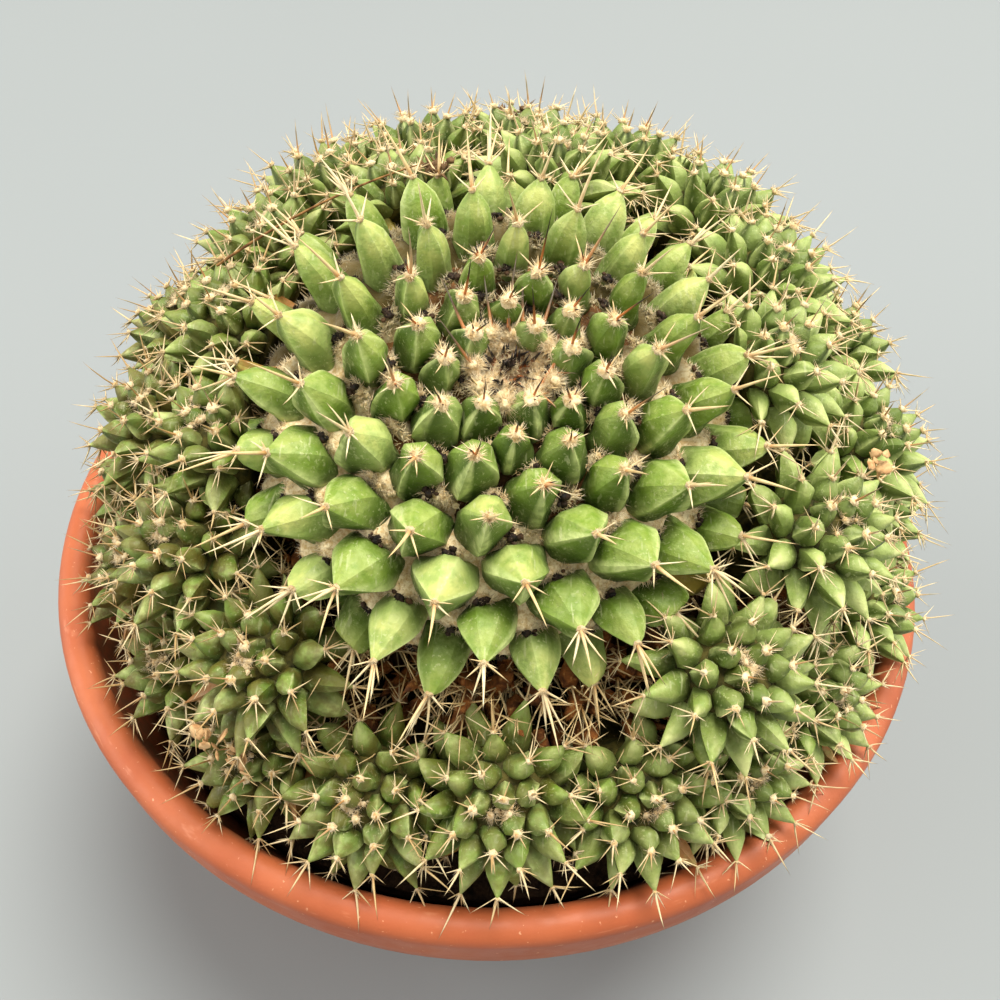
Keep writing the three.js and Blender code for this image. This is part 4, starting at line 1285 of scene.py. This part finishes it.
def build_offset(head, heads):
    """The flesh of one small head with its neck to the old stem. Returns its tubercles' places."""
    planes = offset_planes(head, heads)
    radius = head.reach * OFFSET_BODY_SHARE
    root = unit(-head.outward - np.array([0, 0, NECK_DROP]))
    places, around = offset_places(head, radius, root, planes)

    def keep(points):
        return keep_off_pot(keep_inside(points, planes))

    set_tips(places, keep)
    pile = Pile()
    tubercle_shapes(pile, places, around, OFFSET_LOOK, keep, head.dusty, head.pale)
    unit_points, faces = ball(3)
    pull = 1 + (NECK_LENGTH / radius - 1) * smooth((unit_points @ root - 0.75) / 0.25)
    # The core takes the second colour, a near-black green that is painted shade between the tubercles
    pile.add(keep(head.middle + unit_points * (radius * 0.97 * pull)[:, None]), [faces], 1, tone=0.2)
    name = "offset_%02d" % (head.number + 1)
    flesh = pile.build(name + "_flesh", "small_flesh", "furrow_shade", crease=OFFSET_LOOK["crease"])
    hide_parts(name)
    return places


def build_ring_spines(name, grown):
    """The spines of several small heads."""
    rng = np.random.default_rng(len(name) * 7 + len(grown))
    pile = Pile()
    for head, places in grown:
        tips, directions, age, up = columns(places, "tip", "direction", "age", "crownward")
        young = np.clip(1 - 1.6 * age, 0, 1)
        lean = directions - up * (0.25 * age)[:, None] + head.axis * (0.3 * young)[:, None]
        aim = scattered(rng, unit(lean), 0.15)
        grow(pile, rng, tips - directions * 0.0004, aim, (0.0035, 0.007), (0.00015, 0.00022), 0.05, 4, 3,
             tone=(0.2, 1), dark=young * 0.7, dusty=head.dusty)
        areole_fan(pile, rng, places, (-68, -24, 22, 66), 0.82, 0.0004, (0.003, 0.0058), (0.00011, 0.00017),
                   (0.45, 0.9), sides=3, dusty=head.dusty)
        areole_fan(pile, rng, places, (-120, 122, 95, -92), 0.35, 0.0004, (0.0015, 0.0034), (0.0001, 0.00014),
                   (0.5, 0.9), sides=3, dusty=head.dusty)
    pile.build(name + "_spines", "spine")


def build_ring_wool(name, grown):
    """The wool on the areoles and crowns of several small heads."""
    rng = np.random.default_rng(len(name) * 11 + len(grown))
    pile = Pile()
    soft = ball(1)
    for head, places in grown:
        tips, directions, age = columns(places, "tip", "direction", "age")
        young = np.clip(1.1 - 1.3 * age, 0, 1)
        size = 0.00038 + 0.00045 * young + 0.00015 * head.woolly
        soiled = 0.2 * age + 0.3 * head.dusty
        lumps(pile, rng, tips - directions * 0.0001, directions, size, 0.7, soft, soiled=soiled)
        each = 8 + int(9 * head.woolly)
        tufts(pile, rng, tips, directions, size, 0.0009 + 0.0003 * young, each, 1.2, soiled=soiled)
        count = 9
        aside = rng.normal(0, 0.0012, (count, 3))
        aside -= (aside @ head.axis)[:, None] * head.axis
        middles = head.middle + head.axis * head.reach * OFFSET_BODY_SHARE * (OFFSET_RISE + 0.08) + aside
        normals = np.tile(head.axis, (count, 1))
        soiled = rng.uniform(0.1, 0.5, count)
        lumps(pile, rng, middles, normals, (0.0004, 0.0008), 0.6, soft, soiled=soiled)
        tufts(pile, rng, middles, normals, 0.0008, 0.0012, 30, 1.3, soiled=soiled)
    pile.build(name + "_wool", "wool")


def build_loose_bits():
    """A thin straw across the upper left heads, dried flowers in the furrows and papery scraps."""
    rng = np.random.default_rng(51)
    pile = Pile()
    start, end = (on_dome(*place)[0] for place in STRAW_ENDS)
    length = np.linalg.norm(end - start)
    arch = np.array([0, 0, STRAW_ARCH])
    way = (end - start) / length + arch
    threads(pile, [start], [way], [length], [STRAW_RADIUS], [-arch], 8, 16, power=0.3)
    for place in DRIED_FLOWERS:
        middle, outward = on_dome(*place)
        petals = np.tile(outward, (20, 1))
        aim = scattered(rng, petals, 0.6)
        roots = middle - outward * 0.0015 + rng.normal(0, 0.0005, petals.shape)
        grow(pile, rng, roots, aim, (0.0016, 0.0034), (0.0002, 0.0004), 0.3, 5, 4, slot=1, power=0.4)
        core = np.tile(outward, (8, 1))
        middles = middle - outward * 0.001 + rng.normal(0, 0.0008, core.shape)
        lumps(pile, rng, middles, core, (0.0006, 0.0011), 0.8, ball(2), slot=1)
    for place in SCRAPS:
        middle, outward = on_dome(*place)
        flakes = np.tile(outward, (8, 1))
        middles = middle + rng.normal(0, 0.0009, flakes.shape)
        lumps(pile, rng, middles, scattered(rng, flakes, 0.5), (0.0006, 0.0013), 0.2, ball(2), slot=2)
    pile.build("loose_bits", "straw", "flower", "scrap")


def build_camera():
    """The camera of the photo: it looks at the middle of the rim, a little turned and rolled."""
    seat = np.array([0, -math.cos(CAMERA_ELEVATION), math.sin(CAMERA_ELEVATION)]) * CAMERA_DISTANCE
    right = np.array([1.0, 0, 0])
    ahead = unit(-seat)
    ahead = unit(ahead + CAMERA_PAN * right + CAMERA_TILT * np.cross(right, ahead))
    right = unit(np.cross(ahead, [0, 0, 1]))
    up = np.cross(right, ahead)
    cos, sin = math.cos(CAMERA_ROLL), math.sin(CAMERA_ROLL)
    place = seat + np.array([0, 0, POT_HEIGHT])
    camera = bpy.data.cameras.new("camera")
    camera.lens = CAMERA_LENS
    camera.sensor_width = CAMERA_SENSOR
    camera.clip_start = 0.01
    camera.clip_end = 20
    holder = bpy.data.objects.new("camera", camera)
    matrix = np.identity(4)
    matrix[:3] = np.stack([cos * right + sin * up, cos * up - sin * right, -ahead, place], 1)
    holder.matrix_world = Matrix(matrix)
    bpy.context.scene.collection.objects.link(holder)
    bpy.context.scene.camera = holder


def area_light(name, place, size, power, colour):
    """A round light that faces the plant."""
    light = bpy.data.lights.new(name, "AREA")
    light.shape = "DISK"
    light.size = size
    light.energy = power
    light.color = colour
    holder = bpy.data.objects.new(name, light)
    holder.location = place
    holder.rotation_euler = (Vector(LIGHT_TARGET) - Vector(place)).to_track_quat("-Z", "Y").to_euler()
    bpy.context.scene.collection.objects.link(holder)


def build_stage():
    """The plain grey floor, the lights and the sky."""
    paint = Paint("floor", (136, 141, 144), 0.9, 0.2)
    paint.cover((141, 146, 149), paint.noise(0.4, 2))
    paint.put(paint.body, paint.shader["Base Color"])
    pile = Pile()
    pile.add([(-4, -4, 0), (4, -4, 0), (4, 4, 0), (-4, 4, 0)], [np.array([[0, 1, 2, 3]])])
    floor = pile.build("floor")
    floor.data.materials.append(paint.material)
    floor.parent = None
    world = bpy.data.worlds.new("studio")
    world.use_nodes = True
    background = world.node_tree.nodes["Background"].inputs
    background["Color"].default_value = WORLD_COLOUR
    background["Strength"].default_value = WORLD_STRENGTH
    bpy.context.scene.world = world
    bpy.context.scene.view_settings.view_transform = "Standard"
    for name, light in LIGHTS.items():
        area_light(name, *light)


def main():
    build_camera()
    mother = mother_head()
    heads = [offset_head(number, entry) for number, entry in enumerate(OFFSETS)]
    build_pot()
    build_soil()
    places, planes = build_mother(mother, heads)
    build_stem(heads)
    pads = axil_pads(places)
    build_felt(mother, pads, planes)
    build_mother_spines(mother, places)
    build_dead_parts(mother, planes)
    build_mother_wool(mother, places, pads, planes)
    build_specks(pads, planes)
    grown = [(head, build_offset(head, heads)) for head in heads]
    starts = [*RING_STARTS.values(), len(heads)]
    for name, start, end in zip(RING_STARTS, starts, starts[1:]):
        build_ring_spines(name + "_ring", grown[start:end])
        build_ring_wool(name + "_ring", grown[start:end])
    build_loose_bits()
    build_stage()


main()
